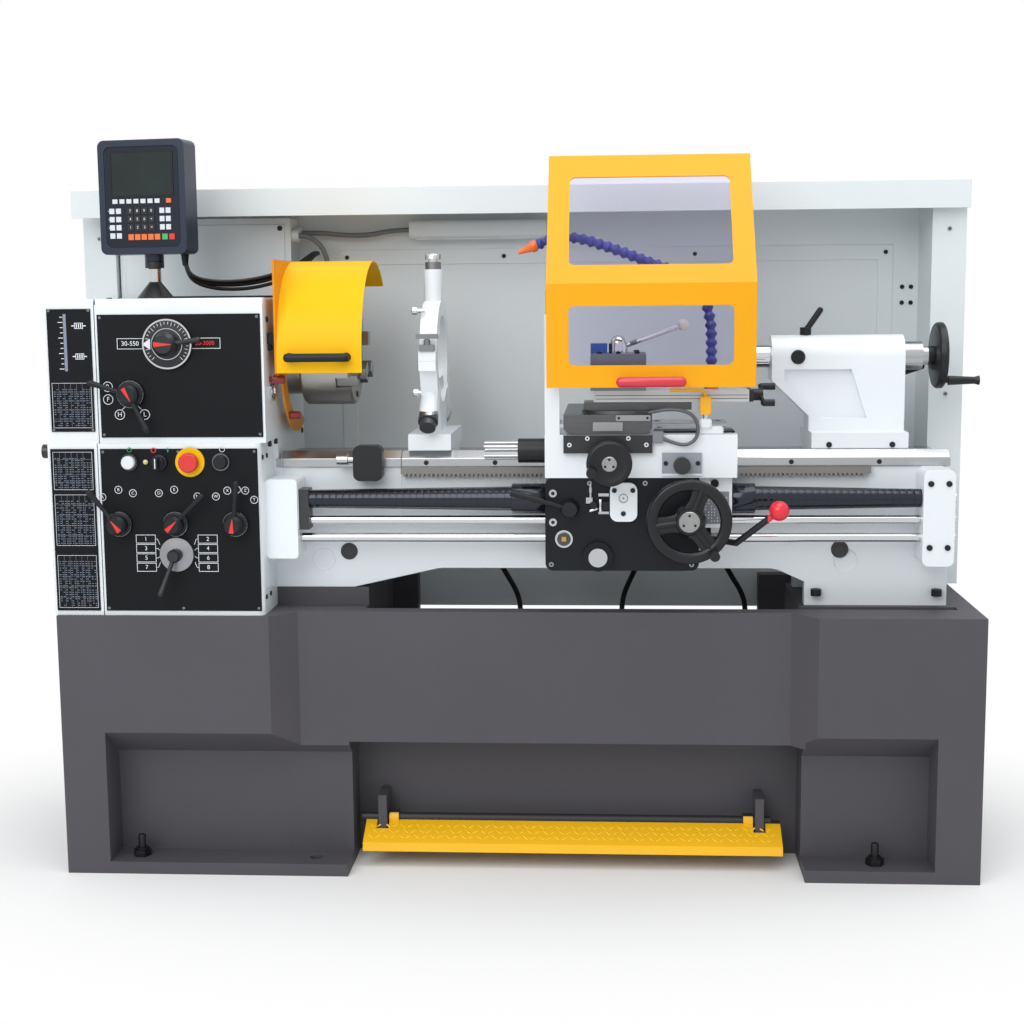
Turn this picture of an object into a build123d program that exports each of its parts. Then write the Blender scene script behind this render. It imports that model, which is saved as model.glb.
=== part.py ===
from build123d import *
import os
from math import atan2, cos, degrees, hypot, radians, sin, tan

# Variable-speed engine lathe with a gap bed, steady rest, tool guard and digital readout.
# Sizes are in millimetres. Places are measured from the stand's left end (x), its front edge (y)
# and the floor (z). The planes further down carry them to the middle of the stand's footprint.

# Driving sizes of the machine
stand_length = 1900
stand_depth = 550
stand_height = 554
bed_height = 312
bed_front = 135
bed_width = 250
bed_start = 20
bed_end = 1845
centre_height = 204
way_z = stand_height + bed_height
spindle_y = bed_front + bed_width / 2
spindle_z = way_z + centre_height

# Clearances and the overrun that every through cut uses
run_fit = 0.05
slide_gap = 0.3
rod_gap = 0.6
bend_share = 0.45
overrun = 5

# Stand with two pedestals, a toe space and a sunk chip tray
left_pedestal = 597
right_pedestal = 355
toe_height = 275
toe_depth = 175
left_front = 444
right_front = 334
bevel_run = 50
panel_setback = 55
recess_margin = 92
recess_depth = 88
recess_foot = 26
recess_height = 280
recess_drop = 62
stand_wall = 36
tray_rim = 40
tray_depth = 96
left_pad_end = 632
pad_margin = 12
riser_height = 37
rake_margin = 60
hollow_top = 420
levelling_radius = 13
levelling_hole = 13.5
levelling_height = 44
levelling_head = 19
levelling_head_height = 14
levelling_inset = 44
levelling_end = 148
lug_width = 18
lug_height = 80
lug_inset = 50

# Bed casting
wall_thickness = 28
arch_height = 78
arch_start = 602
arch_run = 183
foot_start = 1551
flare_run = 62
foot_height = 50
way_lip = 18
vee_rise = 16
vee_apex = 21
vee_width = 43
front_way_width = 70
rear_way_width = 67
wall_setback = 5
rib_width = 24
rib_count = 6
gap_start = 455
gap_length = 252
gap_depth = 131
rack_height = 20
rack_depth = 16
rack_pitch = 9.42
rack_tooth = 6.5
rack_end_margin = 163
plug_radius = 24
plug_depth = 4
left_plug_x = 537
right_plug_x = 1635
plug_z = 650

# Headstock, end cover and feed gearbox
head_left = 100
head_right = 445
head_front = 25
head_rise = 134
head_round = 14
lid_height = 12
lid_margin = 6
box_front = 10
box_right = 435
box_rise = 44
end_cover_start = -5
end_cover_wall = 4
seam = 2
panel_thickness = 2.5
panel_margin = 5
end_knob_radius = 15
end_knob_length = 52
upper_plate_height = 250
upper_plate_lift = 12
lower_plate_margin = 10
chart_margin = 6

# Output cover and the three rods along the bed
rod_y = 80
screw_drop = 78
feed_drop = 122
control_drop = 159
screw_radius = 11
feed_radius = 9.5
control_radius = 9.5
output_width = 66
output_front = 48
output_low = 40
output_high = 44
output_round = 8
seal_width = 22
seal_height = 84
seal_depth = 44
tail_start = 1776
tail_width = 64
tail_front = 52
tail_low = 56

# Spindle, chuck and chuck guard
spindle_radius = 42
spindle_bore = 26
nose_radius = 74
nose_length = 43
chuck_radius = 97
chuck_length = 109
chuck_bore = 28
jaw_width = 26
jaw_slot = 32
jaw_inner = 30
jaw_outer = 88
jaw_step = 60
jaw_reach = 29
jaw_low_reach = 14
key_socket = 7
key_depth = 18
guard_start = 462
guard_end = 641
guard_radius = 200
guard_centre_shift = 10
guard_centre_lift = 10
guard_skirt = 30
guard_sheet = 2.5
guard_plate = 4
guard_back_angle = 48
guard_ring = 155
guard_hole = 117
guard_pivot_inset = 60
guard_pivot_lift = 100
guard_pin = 8
guard_pin_depth = 28
guard_handle_radius = 8
guard_handle_length = 126
guard_handle_gap = 24
guard_handle_lift = 2
guard_swing = 50
guard_swing_gap = 22

# Controls on the two front panels
shaft_radius = 7
shaft_depth = 30
button_travel = 4
button_gap = 1
button_stem = 5
collar_height = 6
speed_dial_radius = 51
speed_dial_height = 8
speed_knob_radius = 24
speed_knob_height = 34
speed_handle_length = 46
speed_handle_radius = 5
speed_handle_angle = 7
range_base_radius = 27
range_base_height = 16
range_knob_radius = 21
range_knob_height = 20
lever_radius = 4.5
lever_grip_radius = 6.5
range_lever_length = 58
range_lever_angles = (162, 298)
selector_base_radius = 25
selector_base_height = 14
selector_knob_radius = 20
selector_knob_height = 26
selector_lever_length = 66
selector_angles = (128, 44, 84)
gate_disc_radius = 35
gate_disc_height = 10
gate_hub_radius = 14
gate_hub_height = 26
gate_lever_length = 78
gate_lever_angle = 252
button_radius = 14
button_height = 12
stop_radius = 20
stop_height = 14
stop_collar_radius = 30
switch_radius = 16
switch_height = 18
speed_shares = (0.433, 0.76)
range_shares = (0.197, 0.356)
button_row_share = 0.919
start_share = 0.187
switch_share = 0.379
stop_share = 0.575
jog_share = 0.771
selector_row_share = 0.542
selector_shares = (0.113, 0.471, 0.853)
gate_shares = (0.471, 0.353)

# Cabinet, backsplash, canopy and lamp behind the machine
cabinet_left = 24
cabinet_right = 421
cabinet_depth = 94
cabinet_gap = 26
cabinet_lift = 86
cabinet_door = 3
gland_radius = 14
gland_length = 16
lamp_gland_inset = 45
lamp_gland_drop = 32
drop_gland_inset = 74
drop_gland_drop = 39
splash_sheet = 2.5
splash_drop = 82
splash_left = 20
splash_right = 1848
column_width = 74
column_front = 400
left_column_front = 440
canopy_front = 365
canopy_lift = 179
canopy_height = 60
frame_left = 517
frame_right = 1790
frame_drop = 71
frame_lift = 66
frame_band = 34
frame_proud = 3
lamp_left = 687
lamp_right = 1001
lamp_depth = 62
lamp_drop = 48
lamp_height = 41
lamp_round = 10

# Readout on its stem
readout_x = 178
readout_y = 200
readout_width = 196
readout_height = 236
readout_depth = 58
readout_forward = 48
readout_lift = 92
readout_yaw = 10
readout_round = 14
bezel_margin = 14
bezel_depth = 3
stem_radius = 13
stem_cone = 40
stem_cone_height = 34
stem_collar = 20
stem_pin = 8
stem_pin_length = 16
neck_height = 14

# Carriage: saddle, apron and their fittings
carriage_left = 1014
carriage_right = 1400
apron_right = 1325
apron_front = 22
apron_height = 190
apron_back_gap = 10
apron_round = 16
saddle_rise = 58
saddle_back = 420
saddle_front = 20
skirt_drop = 29
dial_block_right = 1392
dial_block_front = 46
dial_block_drop = 105
wiper_thickness = 12
wiper_drop = 36
sight_radius = 18
sight_proud = 3
feed_knob_radius = 30
feed_knob_height = 12
feed_disc_radius = 19
feed_disc_height = 14
cover_proud = 14
pump_plate_proud = 6
pump_knob_radius = 17
pump_knob_height = 20
sight_shares = (0.122, 0.345)
feed_knob_shares = (0.344, 0.16)
cover_low_shares = (0.422, 0.54)
cover_high_shares = (0.598, 0.95)
pump_shares = (0.61, 0.815)
post_width = 30
post_depth = 24
post_y = 34
post_pin = 7

# Handwheels and levers on the carriage
apron_wheel_x = 1302
apron_wheel_drop = 110
apron_wheel_radius = 85
apron_grip_angle = 308
wheel_rim = 8
rim_sides = 12
wheel_standoff = 60
wheel_hub_radius = 34
wheel_spoke = 7
spoke_step = 120
wheel_shaft = 11
cross_wheel_x = 1144
cross_wheel_lift = 7
cross_wheel_radius = 45
cross_grip_angle = 200
cross_hub_radius = 26
grip_radius = 10
grip_length = 52
half_nut_x = 1064
half_nut_drop = 90
half_nut_hub = 20
half_nut_length = 30
half_nut_arm = 118
half_nut_rise = 34
arm_share = 0.45
control_hub = 21
control_hub_width = 26
control_bend = 60
control_ball_radius = 20
control_reach = 142
control_forward = 100
control_rise = 68

# Carriage stop, indexing stop drum and leadscrew covers
stop_left = 610
stop_width = 61
stop_depth = 34
stop_low = 44
stop_high = 30
thimble_radius = 12
thimble_length = 36
drum_radius = 25
drum_length = 56
drum_rods = 5
drum_rod_radius = 3.5
drum_rod_length = 70
drum_ring = 16
drum_y = 72
drum_rise = 22
drum_pin = 6
drum_pin_depth = 26
cover_small = 19
cover_large = 25
cover_collar = 31
cover_collar_length = 70
right_collar_length = 48
cover_wall = 3

# Cross slide, compound slide and tool post
cross_left = 1052
cross_right = 1230
cross_front = 20
cross_length = 350
cross_thickness = 40
cross_bevel = 12
swivel_x = 1162
swivel_y = 100
swivel_radius = 74
swivel_height = 7
compound_base_left = 1092
compound_base_right = 1310
compound_left = 1112
compound_right = 1425
compound_width = 84
compound_base_height = 15
compound_height = 24
compound_plate = 9
crank_radius = 12
crank_hub_length = 22
crank_shaft = 6
crank_angle = 24
crank_arm = 36
crank_grip_radius = 7
crank_grip_length = 28
post_block = 112
post_block_height = 74
post_slot = 24
post_slot_depth = 22
nut_radius = 19
nut_height = 20
dome_radius = 16
tool_lever_radius = 5
tool_ball_radius = 12
tool_lever_reach = 132
tool_lever_rise = 36
holder_width = 34
holder_height = 20
hose_x = 1353
hose_y = 120
hose_foot = 15
hose_foot_height = 58
hose_large = 12
hose_small = 9
hose_count = 30
hose_lap_share = 0.1
nozzle_small = 5
nozzle_length = 36

# Tool guard of folded sheet with two windows
tool_guard_left = 1020
tool_guard_width = 412
tool_guard_front = -20
tool_guard_lift = 155
tool_guard_fold = 204
tool_guard_slope_rise = 263
tool_guard_slope_run = 200
tool_sheet = 2.5
window_margin = 44
window_foot = 44
window_height_low = 116
window_start_high = 46
window_height_high = 226
window_sheet = 3
window_round = 12
window_lap = 20
knuckle_radius = 13
knuckle_height = 60
guard_bar_radius = 9
guard_bar_length = 128
guard_bar_gap = 26
guard_bar_lift = 12

# Steady rest
steady_width = 36
steady_inner = 92
steady_outer = 124
steady_base_left = 722
steady_base_width = 90
steady_base_height = 34
steady_neck = 62
finger_radius = 13
finger_boss = 21
finger_boss_length = 66
finger_reach = 40
finger_cap = 17
finger_cap_length = 16
finger_angles = (90, 222, 318)
lug_block = 40
lug_thickness = 20
hinge_pin = 8
hinge_lug = 17

# Tailstock
tail_left = 1486
tail_right = 1763
tail_base_left = 1564
tail_base_right = 1763
tail_base_front = 160
tail_base_back = 360
tail_base_height = 49
barrel_radius = 45
tail_nose_drop = 49
tail_slant_drop = 124
pocket_depth = 14
pocket_inset = 26
pocket_rib_run = 33
pocket_margin = 78
quill_radius = 24
quill_start = 1446
quill_length = 250
quill_socket = 12
quill_socket_depth = 60
quill_chamfer = 2
rear_collar_radius = 30
rear_collar_length = 40
tail_wheel_x = 1838
tail_wheel_radius = 70
tail_screw = 9
tail_grip_length = 70
tail_grip_angle = 236
lock_x = 1560
lock_hub = 12
lock_hub_height = 16
lock_reach = 30
lock_rise = 52
lock_depth = 12
clamp_x = 1742
clamp_drop = 50
clamp_hub = 14
clamp_hub_length = 22
clamp_reach = 76
clamp_rise = 24

# Brake treadle
treadle_left_gap = 23
treadle_right_gap = 39
treadle_y = 130
treadle_z = 88
treadle_rod = 10
treadle_run = 70
treadle_fall = 36
treadle_sheet = 4
treadle_lip = 16
treadle_collar = 16
treadle_collar_width = 20
lug_left_gap = 51
lug_right_gap = 93

# Hoses and cables
cable_radius = 5
conduit_radius = 6
drain_radius = 6

# Places that follow from the driving sizes
left_end = -stand_length / 2
front_edge = -stand_depth / 2
head_top = spindle_z + head_rise
cabinet_front = stand_depth - cabinet_depth
cabinet_low = stand_height + cabinet_lift
head_back = cabinet_front - cabinet_gap
guard_centre_y = spindle_y - guard_centre_shift
guard_pivot_y = head_back - guard_pivot_inset
canopy_bottom = head_top + canopy_lift
canopy_top = canopy_bottom + canopy_height
frame_top = canopy_bottom - frame_drop
frame_low = stand_height + frame_lift
lamp_low = canopy_bottom - lamp_drop
lamp_high = lamp_low + lamp_height
splash_bottom = stand_height - splash_drop
tool_guard_low = way_z + tool_guard_lift
split_z = way_z + box_rise
saddle_z = way_z + saddle_rise
vee_z = way_z + vee_rise
rod_zs = (way_z - screw_drop, way_z - feed_drop, way_z - control_drop)
screw_z, feed_z, control_z = rod_zs
chuck_start = head_right + nose_length
chuck_face = chuck_start + chuck_length
output_end = box_right + output_width
seal_end = output_end + seal_width


def level(z):
    return Plane(origin=(left_end, front_edge, z), x_dir=(1, 0, 0), z_dir=(0, 0, 1))


def front(y):
    return Plane(origin=(left_end, front_edge + y, 0), x_dir=(1, 0, 0), z_dir=(0, -1, 0))


def side(x):
    return Plane(origin=(left_end + x, front_edge, 0), x_dir=(0, 1, 0), z_dir=(1, 0, 0))


def spot(x, y, z):
    return Vector(left_end + x, front_edge + y, z)


def block(x0, x1, y0, y1, z0, z1, mode=Mode.ADD):
    with BuildSketch(level(z0)) as section:
        with Locations(((x0 + x1) / 2, (y0 + y1) / 2)):
            Rectangle(x1 - x0, y1 - y0)
    extrude(section.sketch, amount=z1 - z0, mode=mode)


def rounded_block(x0, x1, y0, y1, z0, z1, radius, mode=Mode.ADD):
    with BuildSketch(front(y1)) as section:
        with Locations(((x0 + x1) / 2, (z0 + z1) / 2)):
            RectangleRounded(x1 - x0, z1 - z0, radius)
    extrude(section.sketch, amount=y1 - y0, mode=mode)


def front_slab(points, y0, y1, mode=Mode.ADD):
    with BuildSketch(front(y1)) as section:
        with BuildLine():
            Polyline(*points, close=True)
        make_face()
    extrude(section.sketch, amount=y1 - y0, mode=mode)


def side_slab(points, x0, x1, mode=Mode.ADD):
    with BuildSketch(side(x0)) as section:
        with BuildLine():
            Polyline(*points, close=True)
        make_face()
    extrude(section.sketch, amount=x1 - x0, mode=mode)


def rod_along_x(x0, x1, y, z, radius, mode=Mode.ADD):
    with BuildSketch(side(x0)) as section:
        with Locations((y, z)):
            Circle(radius)
    extrude(section.sketch, amount=x1 - x0, mode=mode)


def rod_along_y(y0, y1, x, z, radius, mode=Mode.ADD):
    with BuildSketch(front(y1)) as section:
        with Locations((x, z)):
            Circle(radius)
    extrude(section.sketch, amount=y1 - y0, mode=mode)


def rod_along_z(z0, z1, x, y, radius, mode=Mode.ADD):
    with BuildSketch(level(z0)) as section:
        with Locations((x, y)):
            Circle(radius)
    extrude(section.sketch, amount=z1 - z0, mode=mode)


def turned_along_x(y, z, profile, mode=Mode.ADD):
    middle = Plane(origin=spot(0, y, z), x_dir=(1, 0, 0), z_dir=(0, -1, 0))
    with BuildSketch(middle) as section:
        with BuildLine():
            Polyline((profile[0][0], 0), *profile, (profile[-1][0], 0), close=True)
        make_face()
    revolve(section.sketch, axis=Axis(middle.origin, (1, 0, 0)), mode=mode)


def turned_along_y(x, z, profile, mode=Mode.ADD):
    middle = Plane(origin=spot(x, 0, z), x_dir=(1, 0, 0), z_dir=(0, 0, 1))
    with BuildSketch(middle) as section:
        with BuildLine():
            Polyline((0, profile[0][1]), *profile, (0, profile[-1][1]), close=True)
        make_face()
    revolve(section.sketch, axis=Axis(middle.origin, (0, -1, 0)), mode=mode)


def stick(start, end, radius, end_radius=None):
    run = spot(*end) - spot(*start)
    lean = 0 if end_radius is None else degrees(atan2(radius - end_radius, run.length))
    with BuildSketch(Plane(origin=spot(*start), z_dir=run)) as section:
        Circle(radius)
    extrude(section.sketch, amount=run.length, taper=lean)


def ball(centre, radius):
    with Locations(Location(spot(*centre))):
        Sphere(radius)


def rim(x, y, z, radius, thickness, normal):
    centre = spot(x, y, z)
    across = Plane(origin=centre, x_dir=(0, 0, 1), z_dir=Vector(normal).cross(Vector(0, 0, 1)))
    with BuildSketch(across) as section:
        with Locations((radius - thickness, 0)):
            RegularPolygon(thickness, rim_sides)
    revolve(section.sketch, axis=Axis(centre, normal))

os.makedirs("parts", exist_ok=True)

# Stand: one casting with two pedestals, a bevelled front, a toe space and a sunk chip tray
right_edge = stand_length - right_pedestal
treadle_left = left_pedestal + treadle_left_gap
treadle_right = right_edge - treadle_right_gap
lug_left_x = left_pedestal + lug_left_gap
lug_right_x = right_edge - lug_right_gap
recess_top = recess_foot + recess_height
tray_floor = stand_height - tray_depth
bed_wall_front = bed_front + wall_setback
bed_wall_back = bed_front + bed_width - wall_setback
foot_pad_front = bed_front - pad_margin
foot_pad_back = bed_front + bed_width + pad_margin
levelling_xs = (levelling_end, stand_length - right_pedestal + levelling_end)
levelling_ys = (levelling_inset, stand_depth - levelling_inset)
spare_hole_x = left_pedestal - levelling_end / 2
recess_profile = (
    (-overrun, recess_foot),
    (-overrun, recess_top),
    (0, recess_top),
    (recess_depth, recess_top - recess_drop),
    (recess_depth, recess_foot),
)
with BuildPart() as stand:
    with BuildSketch(level(0)):
        with BuildLine():
            Polyline(
                (0, 0),
                (left_front, 0),
                (left_front + bevel_run, panel_setback),
                (stand_length - right_front - bevel_run, panel_setback),
                (stand_length - right_front, 0),
                (stand_length, 0),
                (stand_length, stand_depth),
                (0, stand_depth),
                close=True,
            )
        make_face()
    extrude(amount=stand_height)
    block(left_front, left_pedestal, 0, recess_depth, 0, recess_foot)
    block(right_edge, stand_length - right_front, 0, recess_depth, 0, recess_foot)
    block(left_pedestal, right_edge, -overrun, toe_depth, -overrun, toe_height, Mode.SUBTRACT)
    side_slab(recess_profile, recess_margin, left_pedestal, Mode.SUBTRACT)
    side_slab(recess_profile, right_edge, stand_length - recess_margin, Mode.SUBTRACT)
    for start, end in ((0, left_pedestal), (right_edge, stand_length)):
        block(start + stand_wall, end - stand_wall, recess_depth + stand_wall,
              stand_depth - recess_depth - stand_wall, -overrun, hollow_top, Mode.SUBTRACT)
    with BuildSketch(level(tray_floor)):
        with Locations(((left_pad_end + stand_length - tray_rim) / 2, (panel_setback + stand_depth) / 2)):
            Rectangle(stand_length - tray_rim - left_pad_end, stand_depth - panel_setback - 2 * tray_rim)
        with Locations(((foot_start - pad_margin + stand_length) / 2, (foot_pad_front + foot_pad_back) / 2)):
            Rectangle(stand_length - foot_start + pad_margin, foot_pad_back - foot_pad_front,
                      mode=Mode.SUBTRACT)
    extrude(amount=tray_depth + overrun, mode=Mode.SUBTRACT)
    block(left_pad_end + rake_margin, foot_start - rake_margin, stand_depth - tray_rim - overrun,
          stand_depth + overrun, tray_floor, stand_height + overrun, Mode.SUBTRACT)
    block(bed_start, left_pad_end, bed_wall_front, bed_wall_back, stand_height, stand_height + riser_height)
    for x in levelling_xs:
        block(x - levelling_inset, x + levelling_inset, stand_depth - recess_depth, stand_depth + overrun,
              recess_foot, recess_foot + recess_depth, Mode.SUBTRACT)
        for y in levelling_ys:
            rod_along_z(-overrun, recess_foot + overrun, x, y, levelling_hole, Mode.SUBTRACT)
    rod_along_z(-overrun, recess_foot + overrun, spare_hole_x, levelling_inset, levelling_hole,
                Mode.SUBTRACT)
    for x in (lug_left_x, lug_right_x):
        block(x, x + lug_width, treadle_y - lug_inset / 2, toe_depth, treadle_z - lug_inset / 2,
              treadle_z - lug_inset / 2 + lug_height)
        rod_along_x(x - overrun, x + lug_width + overrun, treadle_y, treadle_z, treadle_rod + run_fit,
                    Mode.SUBTRACT)
stand.part.label = "stand"
export_step(stand.part, "parts/stand.step")

with BuildPart() as levelling_bolts:
    for x in levelling_xs:
        for y in levelling_ys:
            rod_along_z(0, levelling_height, x, y, levelling_radius)
            with BuildSketch(level(recess_foot)) as nut:
                with Locations((x, y)):
                    RegularPolygon(levelling_head, 6)
            extrude(nut.sketch, amount=levelling_head_height)
levelling_bolts.part.label = "levelling_bolts"
export_step(levelling_bolts.part, "parts/levelling_bolts.step")

# Bed: walls, cross ribs and a vee way at the front, with a flat way at the back
arch_z = stand_height + arch_height
lip_z = way_z - way_lip
way_start = head_right + overrun
rear_way_front = bed_front + bed_width - rear_way_width
rib_pitch = (bed_end - left_pad_end) / rib_count
front_way = (
    (bed_front, lip_z),
    (bed_front, way_z),
    (bed_front + vee_apex, vee_z),
    (bed_front + vee_width, way_z),
    (bed_front + front_way_width, way_z),
    (bed_front + front_way_width, lip_z),
)
rear_way = (
    (rear_way_front, lip_z),
    (rear_way_front, way_z),
    (bed_front + bed_width, way_z),
    (bed_front + bed_width, lip_z),
)
gap_z = way_z - gap_depth
gap_end = gap_start + gap_length
with BuildPart() as bed:
    with BuildSketch(front(bed_wall_back)) as elevation:
        with BuildLine():
            Polyline(
                (bed_start, stand_height + riser_height),
                (arch_start, stand_height + riser_height),
                (arch_start + arch_run, arch_z),
                (foot_start - flare_run, arch_z),
                (foot_start, stand_height + foot_height),
                (foot_start, stand_height),
                (bed_end, stand_height),
                (bed_end, lip_z),
                (bed_start, lip_z),
                close=True,
            )
        make_face()
        arch_corners = elevation.vertices().filter_by_position(Axis.Y, arch_z, arch_z)
        fillet(arch_corners, radius=flare_run)
    extrude(amount=bed_wall_back - bed_wall_front)
    for bay in range(rib_count):
        bay_start = left_pad_end + bay * rib_pitch + rib_width
        block(bay_start, bay_start + rib_pitch - rib_width - wall_thickness / 2,
              bed_wall_front + wall_thickness, bed_wall_back - wall_thickness,
              stand_height - overrun, way_z + overrun, Mode.SUBTRACT)
    block(bed_start, way_start, bed_wall_front, bed_wall_back, lip_z, way_z)
    side_slab(front_way, way_start, bed_end)
    side_slab(rear_way, way_start, bed_end)
    block(gap_start, gap_end, bed_front - overrun, bed_front + bed_width + overrun, gap_z,
          vee_z + overrun, Mode.SUBTRACT)
    for x in (left_plug_x, right_plug_x):
        rod_along_y(bed_wall_front - overrun, bed_wall_front + plug_depth, x, plug_z, plug_radius,
                    Mode.SUBTRACT)
bed.part.label = "bed"
export_step(bed.part, "parts/bed.step")

with BuildPart() as gap_bridge:
    block(gap_start, gap_end, bed_wall_front, bed_wall_back, gap_z, lip_z)
    block(gap_start + rib_width, gap_end - rib_width, bed_front + front_way_width, rear_way_front,
          gap_z + rib_width, way_z + overrun, Mode.SUBTRACT)
    side_slab(front_way, gap_start, gap_end)
    side_slab(rear_way, gap_start, gap_end)
gap_bridge.part.label = "gap_bridge"
export_step(gap_bridge.part, "parts/gap_bridge.step")

# Feed rack under the front way, its teeth cut across the lower edge
rack_end = bed_end - rack_end_margin
rack_low = lip_z - rack_height
rack_teeth = int((rack_end - gap_end) / rack_pitch) - 1
rack_points = [(gap_end, lip_z), (gap_end, rack_low + rack_tooth)]
for tooth in range(rack_teeth):
    tooth_start = gap_end + (tooth + 0.5) * rack_pitch
    rack_points.append((tooth_start, rack_low + rack_tooth))
    rack_points.append((tooth_start + rack_pitch / 4, rack_low))
    rack_points.append((tooth_start + rack_pitch / 2, rack_low))
    rack_points.append((tooth_start + rack_pitch * 3 / 4, rack_low + rack_tooth))
rack_points += [(rack_end, rack_low + rack_tooth), (rack_end, lip_z)]
with BuildPart() as feed_rack:
    front_slab(rack_points, bed_wall_front - rack_depth, bed_wall_front)
feed_rack.part.label = "feed_rack"
export_step(feed_rack.part, "parts/feed_rack.step")

# Panels on the headstock and gearbox, and the places of their controls
upper_face = head_front - panel_thickness
lower_face = box_front - panel_thickness
upper_left = head_left + panel_margin
upper_width = head_right - head_left - 2 * panel_margin
upper_low = split_z + upper_plate_lift
lower_left = head_left + panel_margin
lower_width = box_right - head_left - 2 * panel_margin
lower_low = stand_height + lower_plate_margin
lower_height = split_z - stand_height - 2 * lower_plate_margin


def upper_spot(shares):
    return upper_left + shares[0] * upper_width, upper_low + shares[1] * upper_plate_height


def lower_spot(shares):
    return lower_left + shares[0] * lower_width, lower_low + shares[1] * lower_height


speed_spot = upper_spot(speed_shares)
range_spot = upper_spot(range_shares)
start_spot = lower_spot((start_share, button_row_share))
switch_spot = lower_spot((switch_share, button_row_share))
stop_spot = lower_spot((stop_share, button_row_share))
jog_spot = lower_spot((jog_share, button_row_share))
selector_spots = [lower_spot((share, selector_row_share)) for share in selector_shares]
gate_spot = lower_spot(gate_shares)
upper_shafts = (speed_spot, range_spot)
lower_shafts = (switch_spot, *selector_spots, gate_spot)
button_spots = (start_spot, stop_spot, jog_spot)


def control_holes(face, shafts, stems):
    for x, z in shafts:
        rod_along_y(face - overrun - collar_height, face + shaft_depth + overrun, x, z,
                    shaft_radius + run_fit, Mode.SUBTRACT)
    for x, z in stems:
        rod_along_y(face - overrun - collar_height, face + shaft_depth + overrun, x, z,
                    button_stem + run_fit, Mode.SUBTRACT)


with BuildPart() as headstock_housing:
    with BuildSketch(side(head_left)) as section:
        with BuildLine():
            Polyline(
                (head_front, split_z),
                (head_front, head_top - lid_height),
                (head_back, head_top - lid_height),
                (head_back, way_z),
                (bed_wall_front, way_z),
                (bed_wall_front, split_z),
                close=True,
            )
        make_face()
    extrude(amount=head_right - head_left)
    with BuildSketch(side(head_left)) as lid:
        with BuildLine():
            Polyline(
                (head_front + lid_margin, head_top - lid_height),
                (head_front + lid_margin, head_top),
                (head_back - lid_margin, head_top),
                (head_back - lid_margin, head_top - lid_height),
                close=True,
            )
        make_face()
        fillet(lid.vertices().group_by(Axis.Y)[-1], radius=lid_margin)
    extrude(amount=head_right - head_left)
    fillet(headstock_housing.edges().filter_by(Axis.Y).group_by(Axis.Z)[-1].group_by(Axis.X)[-1],
           radius=lid_margin)
    rod_along_x(head_left - overrun, head_right + overrun, spindle_y, spindle_z, spindle_radius + run_fit,
                Mode.SUBTRACT)
    rod_along_x(head_right - guard_pin_depth - overrun, head_right + overrun, guard_pivot_y,
                spindle_z + guard_pivot_lift, guard_pin + run_fit, Mode.SUBTRACT)
    control_holes(upper_face, upper_shafts, ())
headstock_housing.part.label = "headstock_housing"
export_step(headstock_housing.part, "parts/headstock_housing.step")

# Cover over the change gears at the left end, open towards the headstock
end_cover_right = head_left - seam
cover_outline = (
    (box_front, stand_height),
    (box_front, split_z),
    (head_front, split_z),
    (head_front, head_top),
    (head_back, head_top),
    (head_back, stand_height),
)
cover_hollow = (
    (box_front + end_cover_wall, stand_height - overrun),
    (box_front + end_cover_wall, split_z - end_cover_wall),
    (head_front + end_cover_wall, split_z - end_cover_wall),
    (head_front + end_cover_wall, head_top - end_cover_wall),
    (head_back - end_cover_wall, head_top - end_cover_wall),
    (head_back - end_cover_wall, stand_height - overrun),
)
knob_z = split_z - end_knob_length / 2
with BuildPart() as end_gear_cover:
    side_slab(cover_outline, end_cover_start, end_cover_right)
    fillet(end_gear_cover.edges().filter_by(Axis.Y).group_by(Axis.Z)[-1].sort_by(Axis.X)[0],
           radius=head_round)
    side_slab(cover_hollow, end_cover_start + end_cover_wall, end_cover_right + overrun, Mode.SUBTRACT)
    rod_along_x(end_cover_start - overrun, end_cover_right, spindle_y, spindle_z, spindle_radius + slide_gap,
                Mode.SUBTRACT)
    turned_along_x(spindle_y / 2, knob_z, (
        (end_cover_start - end_knob_length, end_knob_radius),
        (end_cover_start - end_knob_length / 2, end_knob_radius),
        (end_cover_start - end_knob_length / 2, end_knob_radius / 2),
        (end_cover_start + end_cover_wall, end_knob_radius / 2),
    ))
end_gear_cover.part.label = "end_gear_cover"
export_step(end_gear_cover.part, "parts/end_gear_cover.step")

# Feed gearbox with the rounded output cover and the seal block that the rods leave
with BuildPart() as feed_gearbox:
    block(head_left, box_right, box_front, bed_wall_front, stand_height, split_z)
    fillet(feed_gearbox.edges().filter_by(Axis.Z).sort_by(Axis.X)[-2:].sort_by(Axis.Y)[0], radius=head_round)
    control_holes(lower_face, lower_shafts, button_spots)
    rounded_block(box_right, output_end, output_front, bed_wall_front, control_z - output_low,
                  screw_z + output_high, output_round)
    block(output_end, seal_end, rod_y - seal_depth / 2, rod_y + seal_depth / 2,
          screw_z - seal_height + screw_radius * 2, screw_z + screw_radius * 2)
    for z, radius in zip(rod_zs, (screw_radius, feed_radius, control_radius)):
        rod_along_x(box_right - shaft_depth, seal_end + overrun, rod_y, z, radius + run_fit, Mode.SUBTRACT)
feed_gearbox.part.label = "feed_gearbox"
export_step(feed_gearbox.part, "parts/feed_gearbox.step")

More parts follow.
